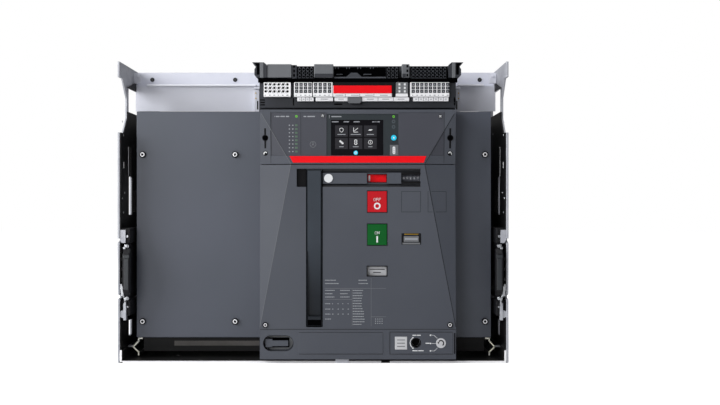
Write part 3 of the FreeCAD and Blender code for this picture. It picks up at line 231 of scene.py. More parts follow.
def circle(x, z, radius, steps=28, start=0, sweep=360):
    turns = [math.radians(start + sweep * i / steps) for i in range(steps + (sweep < 360))]
    return [(x + radius * math.cos(turn), z + radius * math.sin(turn)) for turn in turns]


def disc(x, z, radius, y, steps=28):
    return prism(circle(x, z, radius, steps), y)


def arc(x, z, inner, outer, y, start=0, sweep=360, steps=28):
    if sweep == 360:
        return joined(arc(x, z, inner, outer, y, 360 * i / steps, 360 / steps, 1) for i in range(steps))
    ring = circle(x, z, outer, steps, start, sweep)
    return prism(ring + circle(x, z, inner, steps, start, sweep)[::-1], y)


def border(x, z, y, width):
    inside = (z[0] + width, z[1] - width)
    return (block(x, y, (z[0], z[0] + width)) + block(x, y, (z[1] - width, z[1]))
            + block((x[0], x[0] + width), y, inside) + block((x[1] - width, x[1]), y, inside))


def stroke(points, width, y):
    solids = []
    for (x0, z0), (x1, z1) in zip(points, points[1:]):
        length = math.hypot(x1 - x0, z1 - z0)
        dx, dz = (x1 - x0) / length * width / 2, (z1 - z0) / length * width / 2
        solids += prism([(x0 - dx + dz, z0 - dz - dx), (x1 + dx + dz, z1 + dz - dx),
                         (x1 + dx - dz, z1 + dz + dx), (x0 - dx - dz, z0 - dz + dx)], y)
    return solids


def bothSides(solids):
    return solids + [[[(-x, y, z) for x, y, z in ring] for ring in solid] for solid in solids]


# The span of a face's dress: a little before the face, and a little into it
def skin(face, out=0.12, sunk=0.1):
    return (face - out, face + sunk)


# A span round one place, and a span made wider at its ends, or narrower with numbers below 0
def about(place, reach):
    return (place - reach, place + reach)


def widen(span, before, after=None):
    return (span[0] - before, span[1] + (before if after is None else after))


def middle(span):
    return sum(span) / 2


# The spans of a CAD node in x, y and z, and the depth of its front face
def spanOf(node):
    low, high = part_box(node)
    return [(low[i] / mm, high[i] / mm) for i in range(3)]


def faceOf(node):
    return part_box(node)[0].y / mm


# The solids of several makers' lists in one list
def joined(lists):
    return [solid for solids in lists for solid in solids]


# Strokes of the few plain letters and digits, in a box one wide and 1.6 high
glyphs = {
    "O": [[(0, 0.3), (0, 1.3), (0.3, 1.6), (0.7, 1.6), (1, 1.3), (1, 0.3), (0.7, 0), (0.3, 0), (0, 0.3)]],
    "F": [[(0, 0), (0, 1.6), (1, 1.6)], [(0, 0.85), (0.8, 0.85)]],
    "N": [[(0, 0), (0, 1.6), (1, 0), (1, 1.6)]],
    "0": [[(0, 0.3), (0, 1.3), (0.5, 1.6), (1, 1.3), (1, 0.3), (0.5, 0), (0, 0.3)]],
    "2": [[(0, 1.3), (0.5, 1.6), (1, 1.2), (0, 0), (1, 0)]],
    "4": [[(0.8, 0), (0.8, 1.6), (0, 0.5), (1, 0.5)]],
    "7": [[(0, 1.6), (1, 1.6), (0.4, 0)]],
}


def lettering(word, x, z, height, y, weight):
    unit = height / 1.6
    step = unit * 1.45
    left = x - (len(word) * step - (step - unit)) / 2
    solids = []
    for place, letter in enumerate(word):
        for line in glyphs[letter]:
            spots = [(left + place * step + u * unit, z + v * unit) for u, v in line]
            solids += stroke(spots, height * weight, y)
    return solids


coverLeft, coverRight = spanOf("front_cover")[0]
coverFace = faceOf("front_cover")
panelFace = faceOf("blank_panel_left")
wallFront = faceOf("side_wall_left")
seamZ = spanOf("trip_unit_bezel")[2][0]
ink = skin(coverFace)      # printed marks stand a tenth of a millimetre proud

# The cover and the unit above it slope back at both sides, from an edge that runs to the seam
facet = {"deep": 10, "step": 5, "run": 48.5, "foot": 25.0, "head": 362.5}


def facetReach(z):
    return facet["foot"] - seamZ if z < seamZ else facet["head"] - seamZ


def facetDepth(x, z):
    side = min(x - coverLeft, coverRight - x)
    return max(0, facet["deep"] * (1 - (side + facet["step"]) / facet["run"] - (z - seamZ) / facetReach(z)))


# A mark drawn on the front plane is cut into steps of at most 8 mm and laid down on the slopes
drapeStep = 8


def drape(bm):
    for turn in range(6):
        long = [edge for edge in bm.edges if edge.calc_length() > drapeStep]
        if not long:
            break
        bmesh.ops.subdivide_edges(bm, edges=long, cuts=1)
    bmesh.ops.triangulate(bm, faces=bm.faces)
    for vert in bm.verts:
        vert.co.y += facetDepth(vert.co.x, vert.co.z)


def toMesh(name, solids, laid=False):
    bm = bmesh.new()
    for solid in solids:
        near, far = [[bm.verts.new(spot) for spot in ring] for ring in solid]
        bm.faces.new(near)
        bm.faces.new(far[::-1])
        for i in range(len(near)):
            follow = (i + 1) % len(near)
            bm.faces.new((near[follow], near[i], far[i], far[follow]))
    if laid:
        drape(bm)
    mesh = bpy.data.meshes.new(name)
    bmesh.ops.recalc_face_normals(bm, faces=bm.faces)
    bmesh.ops.scale(bm, vec=(mm, mm, mm), verts=bm.verts)
    bm.to_mesh(mesh)
    bm.free()
    return mesh


sharpAngle = 32      # degrees: edges that turn by more than this are bevelled


def addPiece(name, mesh, finishName, body, bevel=0, segments=2):
    mesh.materials.clear()
    mesh.materials.append(materials[finishName])
    piece = newObject(name, mesh)
    if bevel:
        edges = piece.modifiers.new("edges", "BEVEL")
        edges.width = bevel * mm
        edges.segments = segments
        edges.limit_method = "ANGLE"
        edges.angle_limit = math.radians(sharpAngle)
        edges.use_clamp_overlap = True
    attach(piece, body)
    return piece


def drawn(name, finishName, body, solids, bevel=0, segments=2):
    return addPiece(name, toMesh(name, solids), finishName, body, bevel, segments)


def draped(name, finishName, solids):
    return addPiece(name, toMesh(name, solids, True), finishName, "breaker")


# CAD nodes with their sharp edges broken, as moulded or folded parts have them: widths in mm.
# Corners that lie on one point are joined first, and faces that lie in one plane.
onePoint, onePlane = 2e-6, math.radians(0.8)
softEdges = {
    "front_cover": 0.8, "trip_unit_bezel": 0.8, "racking_fascia": 0.7, "blank_panel_left": 0.7,
    "blank_panel_right": 0.7, "off_button": 0.6, "on_button": 0.6, "reset_button": 0.4,
    "racking_release_button": 0.5, "position_dial": 0.4, "display_module": 0.4, "module_plates": 0.3,
    "base_tray": 0.8, "upper_crossbar": 0.6, "side_wall_left": 0.6, "side_wall_right": 0.6,
    "terminal_covers": 0.9, "terminal_box": 0.8, "guide_blocks": 1.0, "rail_handles": 1.6,
    "padlock_lever": 0.7, "cover_inserts": 0.2, "lower_guides": 0.4, "terminal_blocks": 0.3,
    "upper_terminals": 1.0, "lower_terminals": 1.0, "rear_insulating_wall": 1.0, "pole_block": 1.0,
    "arc_chutes": 1.0, "extraction_rails": 0.3, "handle_screws": 0.5, "racking_nut": 0.5,
    "charging_lever": 0.3,
}
for node, width in softEdges.items():
    bm = bmesh.new()
    bm.from_mesh(nodes[node].data)
    bmesh.ops.remove_doubles(bm, verts=bm.verts, dist=onePoint)
    bmesh.ops.dissolve_limit(bm, angle_limit=onePlane, verts=bm.verts, edges=bm.edges)
    mesh = bpy.data.meshes.new(node + "Soft")
    bm.to_mesh(mesh)
    bm.free()
    piece = addPiece(node + "Soft", mesh, nodes[node].data.materials[0].name, bodyOf[node], width)
    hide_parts(node)
print("softened", len(softEdges))


# Geometry Nodes: copies of one small part on given points, each turned a little differently
def makeCopiesTree():
    tree = bpy.data.node_groups.new("copiesOnPoints", "GeometryNodeTree")
    for name, kind in (("Points", "Geometry"), ("Part", "Object"), ("Turn", "Float"), ("Seed", "Int"),
                       ("Finish", "Material")):
        tree.interface.new_socket(name, in_out="INPUT", socket_type="NodeSocket" + kind)
    tree.interface.new_socket("Copies", in_out="OUTPUT", socket_type="NodeSocketGeometry")
    given = tree.nodes.new("NodeGroupInput").outputs
    info = addNode(tree, "GeometryNodeObjectInfo", {}, {"Object": given["Part"]})
    back = addNode(tree, "ShaderNodeMath", {"operation": "MULTIPLY", 1: -1.0}, {0: given["Turn"]})
    spin = addNode(tree, "FunctionNodeRandomValue", {"data_type": "FLOAT"},
                   {2: back.outputs[0], 3: given["Turn"], "Seed": given["Seed"]})
    turn = addNode(tree, "ShaderNodeCombineXYZ", {}, {"Y": spin.outputs[1]})
    dots = addNode(tree, "GeometryNodeMeshToPoints", {}, {"Mesh": given["Points"]})
    placed = addNode(tree, "GeometryNodeInstanceOnPoints", {},
                     {"Points": dots.outputs[0], "Instance": info.outputs["Geometry"],
                      "Rotation": turn.outputs[0]})
    real = addNode(tree, "GeometryNodeRealizeInstances", {}, {"Geometry": placed.outputs[0]})
    coated = addNode(tree, "GeometryNodeSetMaterial", {}, {"Geometry": real.outputs[0],
                                                           "Material": given["Finish"]})
    tree.links.new(coated.outputs[0], tree.nodes.new("NodeGroupOutput").inputs[0])
    return tree


copiesTree = makeCopiesTree()


def placeCopies(name, finishName, body, spots, solids, turn=0, seed=5, bevel=0):
    sample = newObject(name + "Sample", toMesh(name + "Sample", solids))
    points = bpy.data.meshes.new(name + "Points")
    points.from_pydata([tuple(value * mm for value in spot) for spot in spots], [], [])
    holder = newObject(name + "Holder", points)
    copies = holder.modifiers.new("copies", "NODES")
    copies.node_group = copiesTree
    inputs = {"Part": sample, "Turn": math.radians(turn), "Seed": seed, "Finish": materials[finishName]}
    for item in copiesTree.interface.items_tree:
        if item.name in inputs:
            copies[item.identifier] = inputs[item.name]
    shown = holder.evaluated_get(bpy.context.evaluated_depsgraph_get())
    mesh = bpy.data.meshes.new_from_object(shown)
    bpy.data.objects.remove(holder)
    bpy.data.objects.remove(sample)
    addPiece(name, mesh, finishName, body, bevel)


# Pan-head screws, their faces towards the viewer at y = 0: head, dark cross recess, dark rim
def placeHeads(name, spots, radius, high, seed):
    arm, reach = radius * 0.3, radius * 0.62
    bars = [block((-x, x), (-high - 0.06, -high + 0.1), (-z, z)) for x, z in ((reach, arm), (arm, reach))]
    placeCopies(name, "screwZinc", "breaker", spots, disc(0, 0, radius, (-high, 0.6), 24), 180, seed, 0.3)
    placeCopies(name + "Crosses", "blackInk", "breaker", spots, joined(bars), 180, seed)
    placeCopies(name + "Rings", "blackInk", "breaker", spots, disc(0, 0, radius + 1.4, (-0.3, 0.1), 24), 180,
                seed)


placeHeads("panelScrewHeads", [(x, panelFace - 3, z) for x in (-246.0, -113.0, 246.0) for z in (295.0, 55.2)],
           3.2, 1.0, 3)
placeHeads("coverScrewHeads", [(x, coverFace - 1.2, 55.2) for x in (-66.2, 191.7)], 2.6, 0.35, 8)
print("screws")

# Front of the tray: a painted highlight along the cut edge of floor and flanges
tray = spanOf("base_tray")[0]
trayFront = {"sheet": 3, "flange": 18, "y": skin(wallFront, 0.3, 0.5)}
drawn("trayEdge", "whiteMoulding", "cradle",
      block(widen(tray, -0.5), trayFront["y"], (0.1, trayFront["sheet"]))
      + blocks(((tray[0] + 0.1, tray[0] + trayFront["sheet"]), (tray[1] - trayFront["sheet"], tray[1] - 0.1)),
               trayFront["y"], [(trayFront["sheet"], trayFront["flange"])]), 0.15)

# A painted highlight along the edge of the V guides, with the flange at their top
veeX, veeY, veeZ = spanOf("lower_guides")
vee = {"foot": veeX[1] - 9, "waist": (veeX[1] - 1.2, 17.7), "lip": 5, "flange": 5, "thick": 1.8}
veeLine = [(vee["foot"], veeZ[0] + 0.9), (vee["foot"], veeZ[0] + vee["lip"]), vee["waist"],
           (vee["foot"], veeZ[1] - vee["lip"]), (vee["foot"], veeZ[1] - 1.9)]
veeTop = [(vee["foot"] - vee["flange"], veeZ[1] - 1), (vee["foot"], veeZ[1] - 1)]
drawn("veeEdges", "guideHighlight", "cradle",
      joined(stroke([(side * x, z) for x, z in line], vee["thick"], skin(veeY[0], 0.3, 1))
             for side in (1, -1) for line in (veeLine, veeTop)), 0.1)
print("tray")

# Cradle sides: rivets, slots, stop tabs, latch levers and rollers, alike on both sides
wallIn = spanOf("wall_liner_right")[0][0]
drawn("stopTabs", "galvanised", "cradle",
      bothSides(prism([(264.5, 169), (269.8, 169), (272.4, 173), (272.4, 187.5), (264.5, 187.5)],
                      (wallFront + 1.2, wallFront + 3.2))), 0.3)
drawn("lowTabs", "galvanised", "cradle",
      bothSides(block((263.8, 267.6), (wallFront + 0.6, wallFront + 9), (60, 84))
                + prism(circle(268.4, 68.5, 5.4, 10, -90, 180) + [(266.5, 73.9), (266.5, 63.1)],
                        (wallFront + 2, wallFront + 6))), 0.3)

# The latch lever curves from a flat thumb piece down behind the handle
latchLine = [(270.2, 110), (270.4, 104), (268.8, 98), (266.2, 92.5), (264.6, 87), (264.9, 82)]
drawn("latchLevers", "brightZinc", "cradle",
      bothSides(stroke(latchLine, 2.4, skin(wallFront, 0.8, 4))
                + block((266.6, 270.6), (wallFront - 2.2, wallFront - 0.6), (94.5, 108.5))), 0.4)
drawn("sideSlots", "brightZinc", "cradle",
      bothSides(blocks([(wallIn - 0.2, wallIn + 0.4)], (wallFront + 5.4, wallFront + 7.4),
                       [about(z, 2.4) for z in (146.5, 131.5, 117.5)])))
rivetHigh = (341, 322, 240, 232, 212, 178, 157, 103, 96)
rivetTurns = [math.radians(36 * i) for i in range(10)]
for side, word in ((1, "Right"), (-1, "Left")):
    rivet = [[(-side * reach, radius * math.cos(turn), radius * math.sin(turn)) for turn in rivetTurns]
             for reach, radius in ((0, 1.5), (0.5, 1.1))]
    spots = [(side * (wallIn - 0.02), wallFront + 10 + 7 * (i % 3), z) for i, z in enumerate(rivetHigh)]
    spots += [(side * (wallIn - 0.02), y, z) for y in (-30, 40, 95) for z in (60, 330)]
    placeCopies("linerRivets" + word, "brightZinc", "cradle", spots, [rivet], 0, 4)

# Moulded ribs and small screws on each guide block, above and below the handle
guideFace = faceOf("guide_blocks")
guideEnd = spanOf("guide_blocks")[0][1]
ribX = (guideEnd - 11.6, guideEnd - 1.5)
ribZ = ((85, 86.8), (79, 80.8), (71.6, 74.2), (66.1, 68.7), (171, 173.2), (183, 185.2))
drawn("guideRibs", "blackMoulding", "cradle",
      bothSides(blocks([ribX], skin(guideFace, 0.9, 1), ribZ)
                + block((ribX[0], ribX[0] + 2), skin(guideFace, 1.2, 1), (170, 189))), 0.3)
drawn("guideScrews", "brightZinc", "cradle",
      bothSides(disc(263.2, 178.2, 1.9, skin(guideFace, 1.6, 1), 16)
                + disc(262.4, 78.6, 1.3, skin(guideFace, 1.6, 1), 16)), 0.2)

# Handles: a flat plate over the front with a lighter edge, and clips above and below
gripX, gripY, (gripLow, gripTop) = spanOf("rail_handles")
plateX = (gripX[1] - 8.5, gripX[1] - 2.2)
drawn("handlePlates", "handleGrey", "rails",
      bothSides(block(plateX, skin(gripY[0], 0.7, 0.6), (gripLow + 9, gripTop - 14))
                + block(widen(plateX, 1.2), skin(gripY[0], 0.4, 0.6),
                        (gripTop - 13.4, gripTop - 9))), 0.5)
drawn("handleClips", "brightZinc", "rails",
      bothSides(block((261.5, 265.4), (-152.4, -148.4), (gripTop + 1.2, gripTop + 5.8))
                + block((263.6, 267.2), (-153, -149), (gripTop - 1.2, gripTop + 2.2))
                + block((261.5, 265), (-152.4, -148.6), (gripLow - 5.6, gripLow - 2))), 0.6)
print("sides")

# Top of the cradle: a folded tab and a painted highlight on the lip of the crossbar, brackets beside the box
barFront = faceOf("upper_crossbar")
barStep = spanOf("upper_crossbar")[2][1] - 24
boxLeft, boxRight = spanOf("terminal_box")[0]
boxFront = faceOf("terminal_box")

# Bolts that fill the holes of the crossbar
bolts = {"x": (-251, -124, 251), "z": 414, "y": barFront + 19}
drawn("barBolts", "shadowInk", "cradle",
      joined(disc(x, bolts["z"], 3.3, skin(bolts["y"], 0.9, 0.2), 20) for x in bolts["x"]), 0.3)
placeCopies("barBoltCentres", "dullZinc", "cradle", [(x, bolts["y"] - 0.9, bolts["z"]) for x in bolts["x"]],
            disc(0, 0, 1.4, (-0.3, 0.2), 12), 0, 4)
lip = [(barFront - 3.5, barStep + 3.8), (barFront + 1, barStep + 3.8), (barFront + 1, barStep + 0.4),
       (barFront - 3.5, barStep + 0.4)]
drawn("crossbarLip", "sheetHighlight", "cradle",
      bar((-255, boxLeft - 3), lip) + bar((boxRight + 3, 255), lip), 0.8, 3)
drawn("foldedTabs", "paintedLitSheet", "cradle",
      bothSides(block((261.5, 271.6), (-59, -56.9), (404.5, 419.5))
                + disc(266, 415, 2, (-60.2, -58.9), 16)), 0.5)

# Sheet brackets that hold the box: a plate, a folded lip at its top, a slot and two brass bits
bracket = {"mirror": 63, "near": 147.5, "far": 154.9, "z": (361, 399), "y": (barFront - 9.5, barFront - 7.5)}
plateFront, plateBack = bracket["y"]
lipZ = (bracket["z"][1] - 2.6, bracket["z"][1])


def reachOut(way, *reach):
    return sorted(bracket["mirror"] + way * out for out in reach)


drawn("boxBrackets", "paintedLitSheet", "cradle",
      joined(block(reachOut(way, bracket["near"], bracket["far"]), bracket["y"], bracket["z"])
             + block(reachOut(way, bracket["near"] - 2.7, bracket["far"]), (plateFront - 5, plateBack), lipZ)
             + block(reachOut(way, bracket["far"] - 2, bracket["far"]), (plateBack, barFront + 0.3),
                     (bracket["z"][0], bracket["z"][1] - 6)) for way in (-1, 1)), 0.3)
slotMiddles = [bracket["mirror"] + way * (bracket["near"] + 2.4) for way in (-1, 1)]
drawn("bracketSlots", "blackInk", "cradle",
      blocks([about(x, 1) for x in slotMiddles], skin(plateFront, 0.1, 0.3), [(366, 379)]))
drawn("boxSides", "blackSheet", "cradle",
      blocks([reachOut(way, 139.6, 147.3) for way in (-1, 1)], (plateFront + 1, barFront + 0.3),
             [(362, 400)]))
drawn("bracketBits", "brassBit", "cradle",
      joined(disc(bracket["mirror"] + way * 152.6, z, 0.9, skin(plateFront, 1.2, 0.3), 12)
             for way in (-1, 1) for z in (390.5, 382.5)), 0.2)

# On the tray's edge: a tab painted pale as a highlight, and dark notches
drawn("trayTab", "sheetHighlight", "cradle",
      block((31.5, 50.5), (wallFront - 1.6, wallFront - 0.1), (0.3, 6.4)), 0.5)
drawn("trayNotches", "blackInk", "cradle",
      block((96, 108), (wallFront - 0.5, wallFront - 0.25), (0.4, 3))
      + block((-271.5, -268.5), (wallFront - 0.5, wallFront - 0.25), (0.3, 1.6)))

# Under the panels: a light band along the truck's cross-member, a painted reflection of the floor
drawn("truckBand", "dullZinc", "breaker",
      block((-201, -78.5), (panelFace + 2.6, panelFace + 3.1), (19.8, 26.8)))

# On the side liners: a gusset by the crossbar, a narrow slot and an oval hole painted white as the light that
# shows through them, and a vent
ventHoles = [(-69 + 3 * column, 212 + 3 * row) for row in range(11) for column in range(8)]


def onLiner(outline, out=0.3):
    return bar((wallIn - out, wallIn + 0.1), outline)


drawn("wallGussets", "blackSheet", "cradle", bothSides(onLiner([(-112, 392), (-49, 393), (-49, 407)], 0.8)))
drawn("litSlots", "whiteMoulding", "cradle",
      bothSides(onLiner(rectangle((-102, -99.6), (264, 307)))
                + onLiner(rectangle((-133, -129.8), (275, 284)))))
drawn("sideVents", "dullZinc", "cradle",
      bothSides(joined(onLiner(rectangle((y, y + 1.8), (z, z + 1.8))) for y, z in ventHoles)))
print("cradle")

# Auxiliary terminal box. Places run from its left end, as on the real terminal strip.
faceY = faceOf("terminal_blocks")
faceTop = spanOf("terminal_blocks")[2][1]
rows = [faceTop - 2.9, faceTop - 7.9, faceTop - 12.8]
strips = {"A": (19, 6, 6.16), "B": (62.9, 4, 6.25), "C": (89.7, 4, 6.6), "F": (228.2, 9, 6.1)}
columns = {name: [boxLeft + start + pitch * i for i in range(count)]
           for name, (start, count, pitch) in strips.items()}


def onBox(*places):
    return tuple(boxLeft + place for place in places)


holeSpots = [(x, faceY - 0.15, z) for x in columns["A"] for z in rows]
cellSpots = [(x, faceY - 0.15, z) for name in "BCF" for x in columns[name] for z in rows]
placeCopies("wireHoles", "blackInk", "cradle", holeSpots, disc(0, 0, 1.75, (-0.15, 0.25), 14))
placeCopies("wireCells", "shadowInk", "cradle", cellSpots, block((-2.35, 2.35), (-0.1, 0.3), (-2.15, 2.15)))
placeCopies("wireScrews", "greyInk", "cradle", cellSpots, disc(0, 0, 0.9, (-0.25, 0.1), 10))

# White slashes between the holes of the first strip, and marks on the label strips
markZ = faceTop - 18.2
labelTop, labelBase = faceTop - 21.2, faceTop - 26
labels = ((64.3, 86.2, 4), (90.4, 113.8, 1), (117.3, 134.3, 1), (156.5, 222, 3), (229, 278, 7))
drawn("stripSlashes", "greyInk", "cradle",
      joined(stroke([(x + 1.7, z + 2.4), (x + 4.4, z - 2.4)], 0.7, skin(faceY))
             for x in columns["A"][:-1] for z in rows))
drawn("rowMarks", "greyInk", "cradle",
      blocks([(x - 1.5, x + 0.6 * (i % 3)) for name in "ABCF" for i, x in enumerate(columns[name])],
             skin(faceY, 0.15), [(markZ - 0.7, markZ + 0.5)])
      + blocks([onBox(x, x + 11) for x in (118, 140, 160, 181)], skin(faceY, 0.15),
               [(markZ - 0.5, markZ + 0.4)])
      + blocks([onBox(x, x + 0.7) for x in (131.5, 152, 172)], skin(faceY, 0.15), [about(markZ, 2)]))


def labelMarks(low, high, count):
    pitch = (high - low) / count
    starts = [boxLeft + low + pitch * i for i in range(count)]
    y = (faceY + 1.85, faceY + 2.1)
    inside = [(labelBase + 1.9, labelTop - 1.9)]
    return (blocks([(x + pitch * 0.28, x + pitch * 0.72) for x in starts], y, inside)
            + blocks([about(x, 0.35) for x in starts[1:]], y, [(labelBase - 0.3, labelTop + 0.3)]))


drawn("labelMarks", "greyInk", "cradle", joined(labelMarks(*label) for label in labels))
drawn("redPlate", "redFilm", "cradle",
      block(onBox(115, 197.6), skin(faceY, 0.8), (faceTop - 15.6, faceTop - 4.6)), 0.2)
drawn("plateShade", "blackInk", "cradle",
      block(onBox(114.3, 203), skin(faceY, 0.5), (faceTop - 4.6, faceTop + 0.1))
      + block(onBox(197.6, 203.4), skin(faceY, 0.3, 8), (faceTop - 16, faceTop)))

# Grey tab under the plate, painted shade under the lids, and the notches in the housing's foot
tabLine = [(135.3, 20.2), (154.9, 20.2), (154.9, 27.4), (152.4, 29.8), (137.8, 29.8), (135.3, 27.4)]
boxFace = boxFront + 12
drawn("greyTab", "mouldedGrey", "cradle",
      prism([(boxLeft + x, faceTop - drop) for x, drop in tabLine], (faceY + 0.6, faceY + 8)), 0.5)
drawn("lidShade", "deepBlack", "cradle",
      block(onBox(8, 291), (faceY + 1.5, faceY + 8), (faceTop + 0.3, faceTop + 6.2)))
drawn("footNotches", "deepBlack", "cradle",
      joined(block(onBox(*x), skin(boxFace, 0.3), z)
             for x, z in (((116, 127.5), (365.3, 367.2)), ((57.2, 58.6), (364.5, 375)),
                          ((286.6, 289), (365, 376)), ((10, 17), (364.5, 366.1)),
                          ((10, 17), (368, 369.6)), ((10, 17), (371.5, 373.1)))))

# Funnels: a grid of dark mouths with a faint rim, a painted highlight. The mouths lie in black wells between
# the lids, with light notches along the upper edge.
funnels = ((67, 4), (193.5, 3), (228, 9))
funnelX = [boxLeft + start + 5.6 * i for start, count in funnels for i in range(count)]
funnelY = boxFront + 3
placeCopies("funnelRims", "bayGrey", "cradle",
            [(x, funnelY, z) for x in funnelX for z in (404.6, 409.6, 414.6)],
            arc(0, 0, 1.7, 2.3, (-0.5, 0.3), 20, 320, 16))
drawn("funnelWells", "deepBlack", "cradle",
      blocks([onBox(start - 3.4, start + 5.6 * count - 2) for start, count in funnels],
             skin(funnelY, 0.2, 0.2), [(402.2, 418.6)]))
drawn("wellTeeth", "bayGrey", "cradle",
      blocks([about(x, 1) for x in funnelX], skin(funnelY, 0.4, 0.2), [(417, 419)]))
keyholeZ = [(z, z + 3.6) for z in (404.4, 410.6, 417.2)]
drawn("keyholes", "deepBlack", "cradle",
      blocks([onBox(58, 60.6)], (boxFront + 2.7, boxFront + 4), keyholeZ)
      + blocks([onBox(218.4, 221)], (boxFront + 0.7, boxFront + 4), keyholeZ))

# The second-last block is grey, with two light columns and dark holes
drawn("greyBlock", "greyMoulding", "cradle",
      block(onBox(203.7, 220.5), skin(faceY, 0.3), (faceTop - 15.8, faceTop - 0.2)))
placeCopies("greyBlockDots", "whiteInk", "cradle",
            [(x, faceY - 0.35, z) for x in onBox(208.6, 216.2) for z in rows],
            block((-1.3, 1.3), (-0.1, 0.2), (-1.5, 1.5)))

# Open bay in the middle: a wedge, two shelves and small hooks along the top
bayLeft, bayRight = onBox(116, 190)
bayY = boxFront + 13
wedge = [(14, 402.6), (42, 402.6), (33, 411), (24, 411)]
shelf = [(bayY - 8, 404.2), (bayY + 1, 405.6), (bayY + 1, 403.1), (bayY - 8, 402.4)]
drawn("bayRibs", "bayGrey", "cradle",
      blocks([(bayLeft + low, bayLeft + high) for low, high in ((3, 12), (42, 53))], skin(bayY, 3, 1),
             [(408, 409.2)])
      + prism([(bayLeft + x, z) for x, z in wedge], skin(bayY, 2, 2))
      + blocks([(bayLeft + x, bayLeft + x + 1.6) for x in (1, 5, 17, 21, 33, 37, 51, 55)], skin(bayY, 6, 2),
               [(416.4, 418.8)])
      + bar((bayLeft, bayRight), shelf), 0.3)
# Painted shade: a black sheet at the back of the open bay
drawn("bayBack", "deepBlack", "cradle",
      block((bayLeft, bayRight), (boxFront + 13.5, boxFront + 15), (402.2, 419)))

# Horns at the ends: a front strip painted a lighter grey as a highlight, and a dark cut beside it
ends = ((boxLeft, 1), (boxRight, -1))
drawn("hornStrips", "mouldedGrey", "cradle",
      blocks([sorted((end + way * 11.4, end + way * 16.2)) for end, way in ends], skin(boxFront, 0.7, 1),
             [(402.6, 424.2)]), 0.4)
hornCut = [(2.8, 423.2), (10.4, 423.2), (10.4, 418), (7.6, 418)]
drawn("hornCuts", "deepBlack", "cradle",
      joined(block(sorted((end + way * 6.6, end + way * 10.4)), skin(boxFront, 0.3, 0.5), (407, 420))
             + prism([(end + way * x, z) for x, z in hornCut], skin(boxFront, 0.25, 0.5))
             for end, way in ends))

# Lids: a sloping foot painted darker as shade, as the real ones are folded under
drawn("lidFeet", "terminalGrey", "cradle",
      blocks([onBox(88.2, 114.4), onBox(212.6, 217.4)], skin(faceOf("terminal_covers"), 0.5, 0.5),
             [(403.4, 408.4)]), 0.3)
print("terminal box")

# Front cover. Places are read from the moving parts, so each mark sits on its own part.
flagX, flagY, flagZ = spanOf("contact_flag")
offX, offY, offZ = spanOf("off_button")
onX, onY, onZ = spanOf("on_button")
leverX, leverY, leverZ = spanOf("charging_lever")
resetX, resetY, resetZ = spanOf("reset_button")
springX, springY, springZ = spanOf("spring_flag")
flagMid, springMid = middle(flagZ), middle(springZ)

# Slopes over and under the raised floor of the channel, painted dark as shade, and the finger recess, painted
# black as shade
channel = {"left": leverX[0] - 14.4, "right": 150.6, "base": flagMid - 12, "top": flagMid + 13.4, "deep": 4.0}
slopeX = (leverX[1] + 0.6, channel["right"] - 0.2)
slopeY = (coverFace + 0.25, coverFace + channel["deep"])
drawn("channelSlopes", "shadeGreyPaint", "breaker",
      bar(slopeX, [(slopeY[0], channel["top"] - 0.1), (slopeY[1], channel["top"] - 0.1),
                   (slopeY[1], channel["top"] - 5.6)])
      + bar(slopeX, [(slopeY[0], channel["base"] + 0.1), (slopeY[1], channel["base"] + 4.2),
                     (slopeY[1], channel["base"] + 0.1)]))
drawn("channelFloor", "mouldedAnthracite", "breaker",
      blocks([(leverX[1] + 0.5, 75.8), (103.8, 123.4)], (coverFace + 1.2, coverFace + channel["deep"]),
             [(channel["base"] + 4.4, channel["top"] - 5.7)]), 0.3)
drawn("channelRecess", "blackInk", "breaker",
      block((channel["left"] + 0.1, leverX[0] - 0.6), (coverFace + 3.2, coverFace + 3.9),
            (channel["base"] + 0.1, channel["top"] - 0.1)))

# Charging lever: a black gap round it, dark cross lines low in the hollow of its grip, and
# black painted shade on its foot and along its edges, where its slot shades them
lines = [leverZ[0] + (leverZ[1] - leverZ[0]) * share for share in (0.06, 0.1, 0.14)]
leverSkin = skin(leverY[0], sunk=0.3)
slotFoot, slotTop = leverZ[0] + 8.6, leverZ[1] - 0.6
drawn("leverBorder", "deepBlack", "breaker",
      blocks([(leverX[0] - 1.3, leverX[0] - 0.1), (leverX[1] + 0.1, leverX[1] + 1.3)], ink,
             [widen(leverZ, 1.4, 0.4)])
      + block(widen(leverX, 0.1), ink, (leverZ[0] - 1.4, leverZ[0] - 0.1)))
drawn("leverLines", "blackInk", "charging_lever",
      blocks([widen(leverX, -2.4)], (leverY[0] + 5.2, leverY[0] + 5.6),
             [about(z, 0.5) for z in lines]))
# Painted shade: the lever's foot and its edges are drawn black where the slot shades them
drawn("leverFoot", "deepBlack", "charging_lever",
      block(widen(leverX, -0.5), leverSkin, (leverZ[0] + 0.4, leverZ[0] + 8.5))
      + block((leverX[0] + 0.3, leverX[0] + 1.2), leverSkin, (slotFoot, leverZ[0] + 104))
      + block((leverX[0] + 0.3, leverX[0] + 0.7), leverSkin, (leverZ[0] + 104.1, slotTop))
      + block((leverX[1] - 1.3, leverX[1] - 0.3), leverSkin, (slotFoot, slotTop)))


# Edges of the slopes: a painted highlight along the left one and painted shade along the right one
def creases(side, way, width):
    solids = []
    for ends in ((53, seamZ - 1), (seamZ + 1, 350)):
        reach = [facet["run"] * (1 - (z - seamZ) / facetReach(z)) - facet["step"] for z in ends]
        solids += stroke([(side + way * out, z) for out, z in zip(reach, ends)], width, ink)
    return solids


draped("creaseLight", "mouldedGrey", creases(coverLeft, 1, 0.6))
draped("creaseDark", "shadeGreyPaint", creases(coverRight, -1, 0.9))

